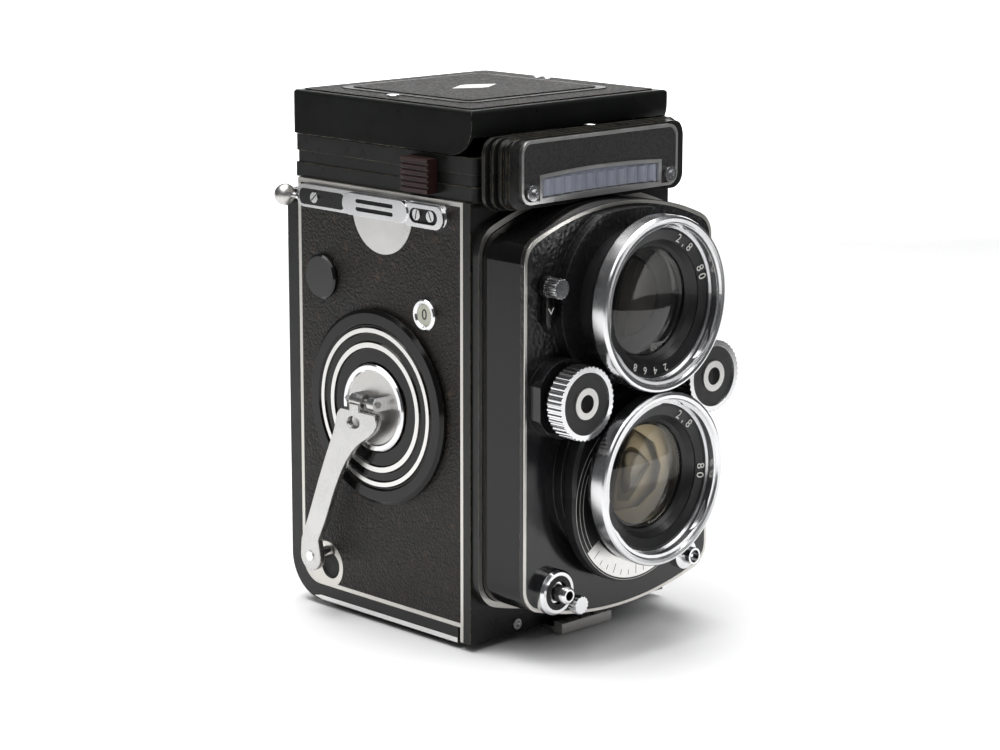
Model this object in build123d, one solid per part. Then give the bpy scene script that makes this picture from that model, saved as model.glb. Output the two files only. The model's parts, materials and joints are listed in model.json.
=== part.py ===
from build123d import *
import os
from math import cos, sin, radians, pi

# Twin lens reflex camera for 120 roll film, in millimetres.
# +Z is up, the lenses look along -Y, the crank is on the -X side and the focusing knob on +X.
# The origin is the mouth of the tripod socket, on the plane that the four feet stand on.

# ---------------------------------------------------------------- driving sizes
TOTAL_H = 147.0          # feet to the top of the hood lid
BODY_HALF_W = 38.2       # over the leathered side plates
BODY_TOP = 122.1         # top of the side plates and of the casting
BODY_BACK = 35.6         # rear face of the back door
BODY_FRONT = -38.3       # front face of the casting
PLATE_T = 1.0            # side plate
LEATHER_T = 0.6          # covering, let into the plates
TRIM_W = 1.2             # bare metal line round each side plate
DOOR_T = 1.7             # sheet of the back door, with its skin
DOOR_EDGE = 4.6          # side flange of the door seen from the side
DOOR_BOTTOM = 1.7        # underside of the door
DOOR_CORNER_R = 12.0     # bend between the back and the bottom
FIT = 0.1                # clearance between fixed neighbours
RUN = 0.05               # radial clearance of a running fit
GAP = 0.3                # clearance between moving bodies

LENS_SPACING = 47.4      # between the two lens axes
TAKING_Z = 47.9          # taking lens axis
STANDARD_HALF_W = 36.2   # front standard, outside
STANDARD_TOP = 121.0     # crown of its arched top
STANDARD_SHOULDER = 112.5
STANDARD_FOOT = 9.1      # crown of its arched foot
STANDARD_HEEL = 15.5
STANDARD_WALL = 1.2
STANDARD_FRONT = -55.0   # front edge of the sleeve
SLEEVE_HOLD = 2.8        # length of the sleeve still inside the body at full travel
BOARD_T = 1.5            # lens board
COLLAR_FRONT = -41.0     # front face of the collar round the standard
COLLAR_W = 1.5
TRIM_INSET = 1.0         # bright line just inside the board edge
FOCUS_TRAVEL = 7.0       # infinity to one metre

BEZEL_R = 23.6           # bayonet bezel, outside
BEZEL_BORE_R = 20.6      # inner bayonet, as far as the face of the barrel
BEZEL_STEP = 0.7         # inner lip stands back from the rim
BAYONET_DEPTH = 3.2      # rim to the face of the barrel
BEZEL_FRONT = -73.2
BEZEL_DEPTH = 7.0
BARREL_R = 20.0          # barrel, where the bezel grips it
GLASS_FRONT_R = 14.6
VIEWING_TAIL = 8.0       # barrels reach this far behind the board
TAKING_TAIL = 16.0
IRIS_Y = -60.2
SHUTTER_Y = -58.6
SHUTTER_R = 24.0
SHUTTER_DROP = 6.0       # the shutter cover hangs this far below the lens axis
WHEEL_X = 24.8           # exposure wheels
WHEEL_Z = 71.6
WHEEL_R = 9.9
WHEEL_T = 5.0
WHEEL_FACE = -68.3

GATE = 56.0              # picture side
SCREEN_Y = -5.0          # centre of the focusing screen
SPOOL_R = 12.6           # 120 spool flange
SPOOL_L = 65.6
SUPPLY_Y = 6.0
SUPPLY_Z = 19.0
TAKEUP_Y = 18.5
TAKEUP_Z = 97.5

LID_HALF_W = 37.45
LID_FRONT = -38.1
LID_BACK = 34.7
LID_SKIRT_Z = 134.2
LID_TOP = 146.2
LID_T = 1.0
LID_CORNER_R = 8.0       # rounded lower front corner, centred on the lid's pivot
FLAP_T = 0.6
FLAP_PIN_R = 0.75
FLAP_STAGGER = 3.7       # hinge of the other side flap above it
BACK_FLAP_W = 26.0
MAGNIFIER_R = 11.0

CRANK_Y = -2.4
CRANK_Z = 62.2
CRANK_DISC_R = 27.1
CRANK_HUB_R = 12.2
CRANK_ARM_L = 52.1       # hinge to the middle of the handle
CRANK_ARM_LEAN = 24.5    # degrees off plumb, folded
CRANK_FACE = 2.6         # disc stands proud of the side
CRANK_SHAFT_R = 3.0
ARM_T = 2.0              # strip that the winding arm is cut from
ARM_TIP_R = 4.2
KNUCKLE_R = 1.9          # hinge barrels of the arm and the hub
KNUCKLE_PIN_R = 0.9
PEG_R = 1.7              # handle
POCKET_Y = 19.0          # rest pocket for the tip of the arm
POCKET_Z = 12.6
POCKET_R = 4.6
FOCUS_KNOB_R = 17.0
FOCUS_KNOB_T = 5.6
SPOOL_KNOB_R = 8.5
SPOOL_KNOB_T = 5.0
SPOOL_CORE_R = 5.6
PIN_R = 3.2              # spool pins and their bearings

CAP_Y = 20.5             # blanking cap on the crank side
CAP_Z = 95.5
CAP_R = 6.2
COUNTER_Y = -21.5        # exposure counter window
COUNTER_Z = 90.5
COUNTER_R = 4.3
RAIL_Z = 117.7           # strap rails
RAIL_HALF_H = 3.2
RAIL_OUT = 3.0
RAIL_FRONT = -31.0
RAIL_REAR = 30.0
BALL_R = 3.1             # rear lug of the strap rail
BALL_Y = 34.2
BADGE_Y = -4.2           # half-moon plate
BADGE_R = 12.0

METER_FLOOR = 120.2      # exposure meter over the viewing lens
METER_TOP = 139.5
METER_FRONT = -48.2
METER_FACE_HALF_W = 30.0
METER_HALF_W = 37.0
METER_FLANGES = 4
METER_STEP = 1.15        # thickness of the stepped flanges at its ends
METER_LENSLETS = 11

RELEASE_X = -26.2        # shutter release, level with the flash socket
RELEASE_Z = 19.0
RELEASE_R = 2.3
RELEASE_COLLAR_R = 6.2
CABLE_R = 1.3            # cable release thread
CABLE_DEPTH = 4.5
LOCK_X = -18.6           # lock of the release
LOCK_Z = 14.2
LOCK_R = 2.5
SYNC_X = -28.6           # flash and self-timer lever
SYNC_Z = 101.6
SYNC_ARM_L = 9.0
SPINDLE_R = 1.2          # of the lock and the lever
WHEEL_SPINDLE_R = 1.6
FLASH_X = 26.2
FLASH_R = 2.35           # collar that the plug closes over
FLASH_BORE_R = 1.75

HINGE_HALF_L = 32.0      # back door's hinge barrel
HINGE_LEAF_X = 20.0
HINGE_LEAF_HALF_L = 5.9
HINGE_PIN_R = 0.6
SOCKET_R = 3.175         # quarter-inch tripod thread
SOCKET_DEPTH = 4.2
SOCKET_FLANGE_R = 9.0
LOCK_RING_R = 14.0
FOOT_R = 3.4
FOOT_X = 27.0
FOOT_FRONT_Y = -24.0
FOOT_REAR_Y = 22.0
LATCH_HALF_W = 8.5
LATCH_PIVOT_Y = -31.0
LATCH_PIVOT_Z = 1.05
LATCH_FRONT = -45.0
DOOR_FRONT = -33.4       # front edge of the door's floor
SCREW_R = 1.5            # heads of the small screws
KNURL_TEETH = {"focus": 40, "spool": 24, "exposure": 40, "lock": 14, "sync": 14}

# ---------------------------------------------------------------- worked-out places
VIEWING_Z = TAKING_Z + LENS_SPACING
CASTING_HALF_W = BODY_HALF_W - PLATE_T
DOOR_IN = DOOR_T + FIT
CASTING_BACK = BODY_BACK - DOOR_IN
CASTING_FLOOR = DOOR_BOTTOM + DOOR_IN
FILM_Y = CASTING_BACK - 0.7
PLATE_BACK = BODY_BACK - DOOR_EDGE
PLATE_FLOOR = DOOR_BOTTOM + DOOR_EDGE
PLATE_FRONT = -35.6
BOARD_FRONT = STANDARD_FRONT - BOARD_T
SLEEVE_BACK = BODY_FRONT + FOCUS_TRAVEL + SLEEVE_HOLD
POCKET_DEPTH = SLEEVE_BACK - BODY_FRONT + 1.0
HINGE_Y = BODY_BACK - 1.2
HINGE_Z = BODY_TOP - 3.0
HINGE_R = 1.3
LID_PIVOT_Y = LID_FRONT + LID_CORNER_R
LID_PIVOT_Z = LID_SKIRT_Z + LID_CORNER_R
LID_INSIDE = LID_HALF_W - LID_T
LID_APRON = 3.0          # front wall of the lid below its pivot
LID_APRON_Z = LID_PIVOT_Z - LID_APRON
FLAP_HINGE_X = LID_INSIDE - 1.4
FLAP_BACK_Z = BODY_TOP + 4.4
FLAP_LOW_Z = FLAP_BACK_Z + 3.0
FLAP_HIGH_Z = FLAP_LOW_Z + FLAP_STAGGER
FLAP_LOW_W = 0.589 * 2 * FLAP_HINGE_X    # height of the flap that folds first
FLAP_HIGH_W = FLAP_LOW_W - FLAP_STAGGER
HOOD_BASE_HALF_W = 37.0
HOOD_BASE_TOP = LID_SKIRT_Z - GAP
HOOD_BASE_FRONT = -39.0
HOOD_BASE_BACK = 34.0
MAGNIFIER_Z = LID_TOP - LID_T - 1.7
MAGNIFIER_PIVOT_Y = LID_PIVOT_Y + 30.0
MAGNIFIER_Y = MAGNIFIER_PIVOT_Y + 20.5
METER_BACK = HOOD_BASE_FRONT - 0.6
SIDE_X = BODY_HALF_W + FIT + 0.02        # where fittings stand on the covering
KNOB_X = BODY_HALF_W + GAP + FIT
FOCUS_Y = CRANK_Y
FOCUS_Z = CRANK_Z
HUB_FACE = -SIDE_X - 2.6
ARM_PIVOT_X = HUB_FACE - KNUCKLE_R - 0.5
ARM_PIVOT_Z = CRANK_Z + 2.0
ARM_IN = ARM_PIVOT_X - 0.2
ARM_OUT = ARM_IN - ARM_T
ARM_TIP_Y = CRANK_Y + CRANK_ARM_L * sin(radians(CRANK_ARM_LEAN))
ARM_TIP_Z = ARM_PIVOT_Z - CRANK_ARM_L * cos(radians(CRANK_ARM_LEAN))


# ---------------------------------------------------------------- helpers
def block(x0, x1, y0, y1, z0, z1):
    centre = ((x0 + x1) / 2, (y0 + y1) / 2, (z0 + z1) / 2)
    return Pos(*centre) * Box(abs(x1 - x0), abs(y1 - y0), abs(z1 - z0))


def rod_x(r, x0, x1, y, z):
    return Pos((x0 + x1) / 2, y, z) * Rot(0, 90, 0) * Cylinder(r, abs(x1 - x0))


def rod_y(r, y0, y1, x, z):
    return Pos(x, (y0 + y1) / 2, z) * Rot(90, 0, 0) * Cylinder(r, abs(y1 - y0))


def rod_z(r, z0, z1, x, y):
    return Pos(x, y, (z0 + z1) / 2) * Cylinder(r, abs(z1 - z0))


def turned_y(points, x, z):
    """Revolve (radius, y) points about the axis along Y through x, z."""
    wire = Polyline(*[(r, y) for r, y in points], close=True)
    return Pos(x, 0, z) * revolve(make_face(wire), Axis.Y)


def turned_x(points, y, z):
    """Revolve (x, radius) points about the axis along X through y, z."""
    wire = Polyline(*[(x, r) for x, r in points], close=True)
    return Pos(0, y, z) * revolve(make_face(wire), Axis.X)


def side_profile(wire, x0, x1):
    """Extrude a closed outline drawn as (y, z) from x0 to x1."""
    plane = Plane(origin=(min(x0, x1), 0, 0), x_dir=(0, 1, 0), z_dir=(1, 0, 0))
    return extrude(plane * make_face(wire), abs(x1 - x0))


def front_profile(wire, y0, y1):
    """Extrude a closed outline drawn as (x, z) from y0 to y1."""
    plane = Plane(origin=(0, max(y0, y1), 0), x_dir=(1, 0, 0), z_dir=(0, -1, 0))
    return extrude(plane * make_face(wire), abs(y1 - y0))


def heel_outline(front, floor, back, top, corner_r):
    """Body seen from the side: square but for the bend at its lower rear."""
    return Wire([
        Line((front, floor), (back - corner_r, floor)),
        RadiusArc((back - corner_r, floor), (back, floor + corner_r), -corner_r),
        Line((back, floor + corner_r), (back, top)),
        Line((back, top), (front, top)),
        Line((front, top), (front, floor)),
    ])


def arched_outline(grow=0.0):
    """Front standard seen from the front, with crowned top and foot."""
    half = STANDARD_HALF_W + grow
    top = STANDARD_TOP + grow
    shoulder = STANDARD_SHOULDER + grow
    foot = STANDARD_FOOT - grow
    heel = STANDARD_HEEL - grow
    return Wire([
        ThreePointArc((-half, shoulder), (0, top), (half, shoulder)),
        Line((half, shoulder), (half, heel)),
        ThreePointArc((half, heel), (0, foot), (-half, heel)),
        Line((-half, heel), (-half, shoulder)),
    ])


def arched_block(y0, y1, grow=0.0, corner_r=7.0):
    solid = front_profile(arched_outline(grow), y0, y1)
    return fillet(solid.edges().filter_by(Axis.Y), max(0.5, corner_r + grow))


def stadium_x(x0, x1, y0, y1, z, half_w):
    """Bar with round ends lying along Y on a side of the body."""
    bar = block(x0, x1, y0 + half_w, y1 - half_w, z - half_w, z + half_w)
    return bar + rod_x(half_w, x0, x1, y0 + half_w, z) + rod_x(half_w, x0, x1, y1 - half_w, z)


def knurled_y(r, y0, y1, x, z, teeth, depth):
    """Wheel on a Y axis with a scalloped rim."""
    wheel = rod_y(r, y0, y1, x, z)
    groove = 2.2 * depth
    cutters = [
        rod_y(groove, y0 - 1, y1 + 1, x + (r + groove - depth) * cos(2 * pi * i / teeth),
              z + (r + groove - depth) * sin(2 * pi * i / teeth))
        for i in range(teeth)
    ]
    return wheel - cutters


def knurled_x(r, x0, x1, y, z, teeth, depth):
    """Wheel on an X axis with a scalloped rim."""
    wheel = rod_x(r, x0, x1, y, z)
    groove = 2.2 * depth
    low, high = min(x0, x1) - 1, max(x0, x1) + 1
    cutters = [
        rod_x(groove, low, high, y + (r + groove - depth) * cos(2 * pi * i / teeth),
              z + (r + groove - depth) * sin(2 * pi * i / teeth))
        for i in range(teeth)
    ]
    return wheel - cutters


# ---------------------------------------------------------------- body
def body_casting():
    """Alloy casting with the mirror chamber, light cone, film gate and both spool wells."""
    lower = heel_outline(PLATE_FRONT, CASTING_FLOOR, CASTING_BACK, BODY_TOP, DOOR_CORNER_R - DOOR_IN)
    solid = side_profile(lower, -CASTING_HALF_W, CASTING_HALF_W)
    solid += block(-BODY_HALF_W, BODY_HALF_W, BODY_FRONT, PLATE_FRONT + 0.01, 2.2, BODY_TOP)
    pocket = arched_block(BODY_FRONT - 1, BODY_FRONT + POCKET_DEPTH, FIT + 0.05)
    solid -= pocket
    # door hinge relief along the top rear edge
    solid -= block(-BODY_HALF_W, BODY_HALF_W, CASTING_BACK - 2.2, BODY_BACK, HINGE_Z - 2.4, BODY_TOP + 1)
    # mirror chamber, open to the screen above and the viewing lens in front
    half = GATE / 2 + 1.5
    front, back = SCREEN_Y - half, SCREEN_Y + half
    drop = back - front
    chamber = Polyline((front, BODY_TOP + 1), (back, BODY_TOP + 1), (back, BODY_TOP - 1.5),
                       (front + 2, BODY_TOP - 3.5 - drop + 8), (front - 8, BODY_TOP - 3.5 - drop + 8),
                       (front - 8, BODY_TOP - 8), (front, BODY_TOP - 8), close=True)
    solid -= side_profile(chamber, -half, half)
    # light cone of the taking lens, widening to the film gate
    mouth_y = BODY_FRONT + POCKET_DEPTH - 1
    gate_y = CASTING_BACK - 2.4
    mouth = Plane(origin=(0, mouth_y, TAKING_Z), x_dir=(1, 0, 0), z_dir=(0, 1, 0)) * Rectangle(30, 30)
    gate = Plane(origin=(0, gate_y, TAKING_Z), x_dir=(1, 0, 0), z_dir=(0, 1, 0)) * Rectangle(GATE, GATE)
    solid -= loft([mouth, gate])
    solid -= block(-GATE / 2, GATE / 2, gate_y - 0.1, BODY_BACK, TAKING_Z - GATE / 2, TAKING_Z + GATE / 2)
    recess_w, recess_h = GATE / 2 + 5, GATE / 2 + 6
    solid -= block(-recess_w, recess_w, FILM_Y, BODY_BACK, TAKING_Z - recess_h, TAKING_Z + recess_h)
    # wells for the two spools, open towards the door
    well = SPOOL_R + 1.2
    half_l = SPOOL_L / 2 + 0.6
    solid -= rod_x(well, -half_l, half_l, SUPPLY_Y, SUPPLY_Z)
    solid -= block(-half_l, half_l, SUPPLY_Y - well, SUPPLY_Y + well, 0, SUPPLY_Z)
    solid -= rod_x(well, -half_l, half_l, TAKEUP_Y, TAKEUP_Z)
    solid -= block(-half_l, half_l, TAKEUP_Y, BODY_BACK, TAKEUP_Z - well + 3, TAKEUP_Z + well)
    # bearings for the crank shaft, the spool pins and the focusing shaft
    solid -= rod_x(CRANK_SHAFT_R + RUN, -BODY_HALF_W, -half_l + 0.2, CRANK_Y, CRANK_Z)
    solid -= rod_x(CRANK_SHAFT_R + RUN, half_l - 0.2, BODY_HALF_W, FOCUS_Y, FOCUS_Z)
    for z in (SUPPLY_Z, TAKEUP_Z):
        y = SUPPLY_Y if z == SUPPLY_Z else TAKEUP_Y
        solid -= rod_x(PIN_R + RUN, half_l - 0.5, BODY_HALF_W, y, z)
    solid -= rod_x(PIN_R + RUN, -BODY_HALF_W, -half_l + 0.5, TAKEUP_Y, TAKEUP_Z)
    return solid


def side_fixture_holes(side):
    """Round holes through a side plate and its covering for what stands on it."""
    shaft_r, pin_r = CRANK_SHAFT_R + 1, PIN_R + 0.4
    if side < 0:
        return [(shaft_r, CRANK_Y, CRANK_Z), (pin_r, TAKEUP_Y, TAKEUP_Z)]
    return [(shaft_r, FOCUS_Y, FOCUS_Z), (pin_r, SUPPLY_Y, SUPPLY_Z), (pin_r, TAKEUP_Y, TAKEUP_Z)]


def leather_outline(grow=0.0):
    inset = TRIM_W - grow
    return heel_outline(PLATE_FRONT + inset, PLATE_FLOOR + inset, PLATE_BACK - inset,
                        BODY_TOP - 1.2 + grow, DOOR_CORNER_R - DOOR_EDGE - inset + 1.5)


def crank_corner(x0, x1, grow=0.0):
    """Bare metal corner that carries the crank's rest pocket."""
    return rod_x(POCKET_R + 2.2 + grow, x0, x1, POCKET_Y + 1.5, POCKET_Z) + block(
        x0, x1, POCKET_Y + 1.5, PLATE_BACK, PLATE_FLOOR, POCKET_Z + POCKET_R + 2 + grow)


def side_plate(side):
    """Pressed plate with a bare rim, let down in the middle for the covering."""
    outline = heel_outline(PLATE_FRONT + FIT, PLATE_FLOOR, PLATE_BACK, BODY_TOP, DOOR_CORNER_R - DOOR_EDGE)
    inner, outer = side * (CASTING_HALF_W + 0.001), side * BODY_HALF_W
    plate = side_profile(outline, inner, outer)
    floor = side * (BODY_HALF_W - LEATHER_T - 0.02)
    pocket = side_profile(leather_outline(), floor, side * (BODY_HALF_W + 1))
    if side < 0:
        pocket -= crank_corner(floor - 2, floor + 2)
        pocket -= crank_corner(floor, -BODY_HALF_W - 2)
    plate -= pocket
    if side < 0:
        plate -= rod_x(POCKET_R - 0.8, -BODY_HALF_W - 1, -BODY_HALF_W + 0.7, POCKET_Y, POCKET_Z)
    for r, y, z in side_fixture_holes(side):
        plate -= rod_x(r, inner - side * 0.5, side * (BODY_HALF_W + 1), y, z)
    return plate


def leather(side):
    """Covering cemented into the side plate."""
    inner, outer = side * (BODY_HALF_W - LEATHER_T), side * (BODY_HALF_W + 0.1)
    skin = side_profile(leather_outline(-FIT), inner, outer)
    if side < 0:
        skin -= crank_corner(inner + 1, outer - 1, FIT)
    for r, y, z in side_fixture_holes(side):
        skin -= rod_x(r, inner - side, outer + side, y, z)
    return skin


def front_collar():
    """Bright-edged collar round the mouth of the body, which the standard slides through."""
    return arched_block(COLLAR_FRONT, BODY_FRONT, COLLAR_W) - arched_block(
        COLLAR_FRONT - 1, BODY_FRONT + 1, FIT + 0.05)


def mirror():
    """First-surface mirror at 45 degrees under the screen."""
    half = GATE / 2 - 1
    plate = Box(2 * half, 2 * half * 1.28, 1.6)
    return Pos(0, SCREEN_Y, VIEWING_Z + 1.6) * Rot(45, 0, 0) * plate


def focusing_screen():
    """Ground glass with its Fresnel ledge, held in a chrome frame."""
    half = GATE / 2 + 3.0
    centre = Pos(0, SCREEN_Y, BODY_TOP + 0.05 + 0.9)
    return centre * Box(2 * half, 2 * half, 1.8)


# ---------------------------------------------------------------- meter housing and hood base
def rounded_front_block(half_w, y0, y1, z0, z1, r):
    solid = block(-half_w, half_w, y0, y1, z0, z1)
    return fillet(solid.edges().filter_by(Axis.Y), r)


def collar_room():
    """Room for the collar under what overhangs it."""
    return arched_block(COLLAR_FRONT - FIT, BODY_FRONT + FIT, COLLAR_W + FIT)


def meter_housing():
    """Exposure meter hood: stepped flanges that narrow towards the window."""
    solid = rounded_front_block(METER_HALF_W - 3.2, METER_BACK, METER_FRONT + 1, METER_FLOOR + 1,
                                METER_TOP - 0.5, 3.0)
    for step in range(METER_FLANGES):
        y_front = METER_FRONT + 0.3 + step * METER_STEP * 1.55
        half = METER_FACE_HALF_W + 2.2 + (METER_HALF_W - METER_FACE_HALF_W - 2.2) * (step + 1) / METER_FLANGES
        rim = 0.35 * (METER_FLANGES - 1 - step)
        solid += rounded_front_block(half, y_front, y_front + METER_STEP, METER_FLOOR + rim * 0.4,
                                     METER_TOP - rim * 0.3, 4.2)
    solid -= block(-METER_FACE_HALF_W + 6.5, METER_FACE_HALF_W - 6.5, METER_FRONT - 1, METER_FRONT + 3.4,
                   METER_FLOOR + 2.6, METER_FLOOR + 9.4)
    return solid - arched_block(COLLAR_FRONT - 20, BODY_FRONT, GAP) - collar_room()


def meter_window_outline(grow=0.0):
    """Shallow arched window over the meter cell."""
    half = METER_FACE_HALF_W - 7.5 + grow
    low = METER_FLOOR + 2.9 - grow
    high = METER_FLOOR + 8.1 + grow
    rise = 0.9
    return Wire([
        ThreePointArc((-half, high), (0, high + rise), (half, high)),
        Line((half, high), (half, low)),
        ThreePointArc((half, low), (0, low + rise / 2), (-half, low)),
        Line((-half, low), (-half, high)),
    ])


def meter_faceplate():
    """Nameplate with a raised bright border round the arched cell window."""
    low, high = METER_FLOOR + 1.6, METER_TOP - 0.9
    plate = rounded_front_block(METER_FACE_HALF_W, METER_FRONT - 0.9, METER_FRONT + 0.28, low, high, 3.4)
    field = rounded_front_block(METER_FACE_HALF_W - 0.8, METER_FRONT - 2, METER_FRONT - 0.5,
                                low + 0.8, high - 0.8, 2.7)
    rim = front_profile(meter_window_outline(0.9), METER_FRONT - 1.0, METER_FRONT)
    plate = plate - field + rim
    return plate - front_profile(meter_window_outline(), METER_FRONT - 3, METER_FRONT + 2)


def meter_window():
    """Row of cylindrical lenslets over the meter cell."""
    half = METER_FACE_HALF_W - 7.9
    pitch = 2 * half / METER_LENSLETS
    base = front_profile(meter_window_outline(-0.15), METER_FRONT - 0.1, METER_FRONT + 1.8)
    ribs = [
        rod_z(pitch / 2 - 0.08, METER_FLOOR + 3.6, METER_FLOOR + 7.9, -half + pitch * (i + 0.5),
              METER_FRONT + 1.0)
        for i in range(METER_LENSLETS)
    ]
    return base + ribs


def meter_bushes():
    """Two chromed hexagon socket bushes at the ends of the window."""
    parts = []
    for side in (-1, 1):
        x, z = side * (METER_FACE_HALF_W - 3.6), METER_FLOOR + 4.8
        bush = rod_y(2.1, METER_FRONT - 1.9, METER_FRONT - 0.51, x, z)
        hexagon = Plane(origin=(x, METER_FRONT - 0.9, z), x_dir=(1, 0, 0), z_dir=(0, -1, 0))
        parts.append(bush - extrude(hexagon * RegularPolygon(1.15, 6), 2))
    return parts


def hood_base():
    """Frame screwed to the body, with stepped outer walls, which carries the folding hood."""
    low = BODY_TOP + 0.05
    step_1 = low + (HOOD_BASE_TOP - low) * 0.34
    step_2 = low + (HOOD_BASE_TOP - low) * 0.62
    levels = [(0.0, low, step_1), (0.5, step_1, step_2), (0.15, step_2, HOOD_BASE_TOP)]
    solid = None
    for inset, z0, z1 in levels:
        half = HOOD_BASE_HALF_W - inset
        ring = block(-half, half, HOOD_BASE_FRONT + inset, HOOD_BASE_BACK - inset, z0, z1)
        ring = fillet(ring.edges().filter_by(Axis.Z), 1.6)
        solid = ring if solid is None else solid + ring
    wall = 0.6
    well = block(-FLAP_HINGE_X - wall, FLAP_HINGE_X + wall, LID_PIVOT_Y - 4.6, HOOD_BASE_BACK - 1.9,
                 BODY_TOP + 1.6, HOOD_BASE_TOP + 1)
    solid -= well
    half = GATE / 2 + 3.3
    solid -= block(-half, half, SCREEN_Y - half, SCREEN_Y + half, BODY_TOP - 1, BODY_TOP + 3)
    # cheeks that stand inside the lid and carry its pivot
    for side in (-1, 1):
        x1 = side * (LID_INSIDE - GAP)
        x0 = side * (FLAP_HINGE_X + FLAP_T / 2 + 0.1)
        near, far = LID_PIVOT_Y + LID_APRON + 0.3, LID_PIVOT_Y + LID_CORNER_R - 0.4
        foot = HOOD_BASE_TOP - 4
        bend = LID_PIVOT_Z - LID_CORNER_R / 2
        neck = Polyline((near, foot), (far, foot), (far, bend), (LID_PIVOT_Y + 1, LID_PIVOT_Z + 2),
                        (LID_PIVOT_Y - 1, LID_PIVOT_Z - 2), (near, bend - 1), close=True)
        cheek = side_profile(neck, x0, x1) + rod_x(2.6, x0, x1, LID_PIVOT_Y, LID_PIVOT_Z)
        solid += cheek - rod_x(1.0 + RUN, x0 - 2, x1 + 2, LID_PIVOT_Y, LID_PIVOT_Z)
    for side, z in ((-1, FLAP_LOW_Z), (1, FLAP_HIGH_Z)):
        solid -= rod_y(FLAP_PIN_R + 0.15, LID_PIVOT_Y - 4, HOOD_BASE_BACK - 2.5, side * FLAP_HINGE_X, z)
    return solid - collar_room()


def lid_profile(inset):
    """Lid seen from the side, its lower front corner struck from the pivot."""
    front, back = LID_FRONT + inset, LID_BACK - inset
    low, top = LID_SKIRT_Z + inset, LID_TOP - inset
    return Wire([
        Line((back, low), (back, top)),
        Line((back, top), (front, top)),
        Line((front, top), (front, LID_PIVOT_Z)),
        RadiusArc((front, LID_PIVOT_Z), (LID_PIVOT_Y, low), -(LID_CORNER_R - inset)),
        Line((LID_PIVOT_Y, low), (back, low)),
    ])


def hood_lid():
    """Folded lid: skirts all round, lower front corners struck from the pivot."""
    tray = side_profile(lid_profile(0), -LID_HALF_W, LID_HALF_W)
    rear = tray.edges().filter_by(Axis.Z).sort_by(Axis.Y)[-2:]
    tray = fillet(rear, 2.4)
    tray = fillet(tray.faces().sort_by(Axis.Z)[-1].edges(), 0.9)
    tray -= side_profile(lid_profile(LID_T), -LID_INSIDE, LID_INSIDE)
    tray -= block(-LID_INSIDE, LID_INSIDE, LID_PIVOT_Y, LID_BACK - LID_T, LID_SKIRT_Z - 1, LID_SKIRT_Z + 2)
    # the front wall stops short of the base so that the lid can swing
    tray -= block(-LID_INSIDE, LID_INSIDE, LID_FRONT - 1, LID_PIVOT_Y + 1, LID_SKIRT_Z - 1, LID_APRON_Z)
    for side in (-1, 1):
        tray += rod_x(1.0, side * (LID_INSIDE - 2.2), side * (LID_INSIDE + 0.3), LID_PIVOT_Y, LID_PIVOT_Z)
    panel = block(-27.5, 27.5, -26.5, 26.5, LID_TOP - 0.1, TOTAL_H - 0.3)
    panel = fillet(panel.edges().filter_by(Axis.Z), 4.0)
    return tray + panel


def hood_panel():
    """Leathered finder panel let into the lid."""
    panel = block(-25.0, 25.0, -24.0, 24.0, TOTAL_H - 0.3, TOTAL_H - 0.05)
    return fillet(panel.edges().filter_by(Axis.Z), 2.6)


def lid_leather():
    """Covering of the lid round the raised panel."""
    skin = block(-35.2, 35.2, -35.6, 32.3, LID_TOP, LID_TOP + 0.3)
    skin = fillet(skin.edges().filter_by(Axis.Z), 2.0)
    hole = block(-27.7, 27.7, -26.7, 26.7, LID_TOP - 1, LID_TOP + 1)
    return skin - fillet(hole.edges().filter_by(Axis.Z), 4.1)


def flap(side):
    """Side wall of the hood, folded flat across the well at rest."""
    low = side < 0
    z = FLAP_LOW_Z if low else FLAP_HIGH_Z
    width = FLAP_LOW_W if low else FLAP_HIGH_W
    front = LID_PIVOT_Y + LID_APRON + 0.4
    back = HOOD_BASE_BACK - 3.4
    square = width * 0.5
    slope_y = front + 11.6
    hinge = side * FLAP_HINGE_X
    outline = Polyline((hinge, front), (hinge - side * square, front), (hinge - side * width, slope_y),
                       (hinge - side * width, back), (hinge, back), close=True)
    sheet = extrude(Plane.XY.offset(z - FLAP_T / 2) * make_face(outline), FLAP_T)
    sheet += rod_y(FLAP_PIN_R, front, back, hinge, z)
    return sheet


def flap_back():
    """Rear wall of the hood, mitred so that it clears the side walls."""
    hinge = HOOD_BASE_BACK - 2.9
    half = FLAP_HINGE_X - 1.6
    outline = Polyline((-half, hinge), (-half + BACK_FLAP_W, hinge - BACK_FLAP_W),
                       (half - BACK_FLAP_W, hinge - BACK_FLAP_W), (half, hinge), close=True)
    sheet = extrude(Plane.XY.offset(FLAP_BACK_Z - FLAP_T / 2) * make_face(outline), FLAP_T)
    return sheet + rod_x(FLAP_PIN_R, -half, half, hinge, FLAP_BACK_Z)


def magnifier_frame():
    """Swinging plate that holds the focusing magnifier."""
    plate = rod_z(MAGNIFIER_R + 1.4, MAGNIFIER_Z - 0.6, MAGNIFIER_Z + 0.6, 0, MAGNIFIER_Y)
    plate += block(-MAGNIFIER_R, MAGNIFIER_R, MAGNIFIER_PIVOT_Y, MAGNIFIER_Y,
                   MAGNIFIER_Z - 0.6, MAGNIFIER_Z + 0.6)
    plate += rod_x(0.8, -MAGNIFIER_R, MAGNIFIER_R, MAGNIFIER_PIVOT_Y, MAGNIFIER_Z)
    return plate - rod_z(MAGNIFIER_R - 0.4, MAGNIFIER_Z - 2, MAGNIFIER_Z + 2, 0, MAGNIFIER_Y)


def magnifier_lens():
    """Biconvex magnifier lens."""
    r = MAGNIFIER_R - 0.45
    disc = rod_z(r, MAGNIFIER_Z - 0.7, MAGNIFIER_Z + 0.7, 0, MAGNIFIER_Y)
    return disc


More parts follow.
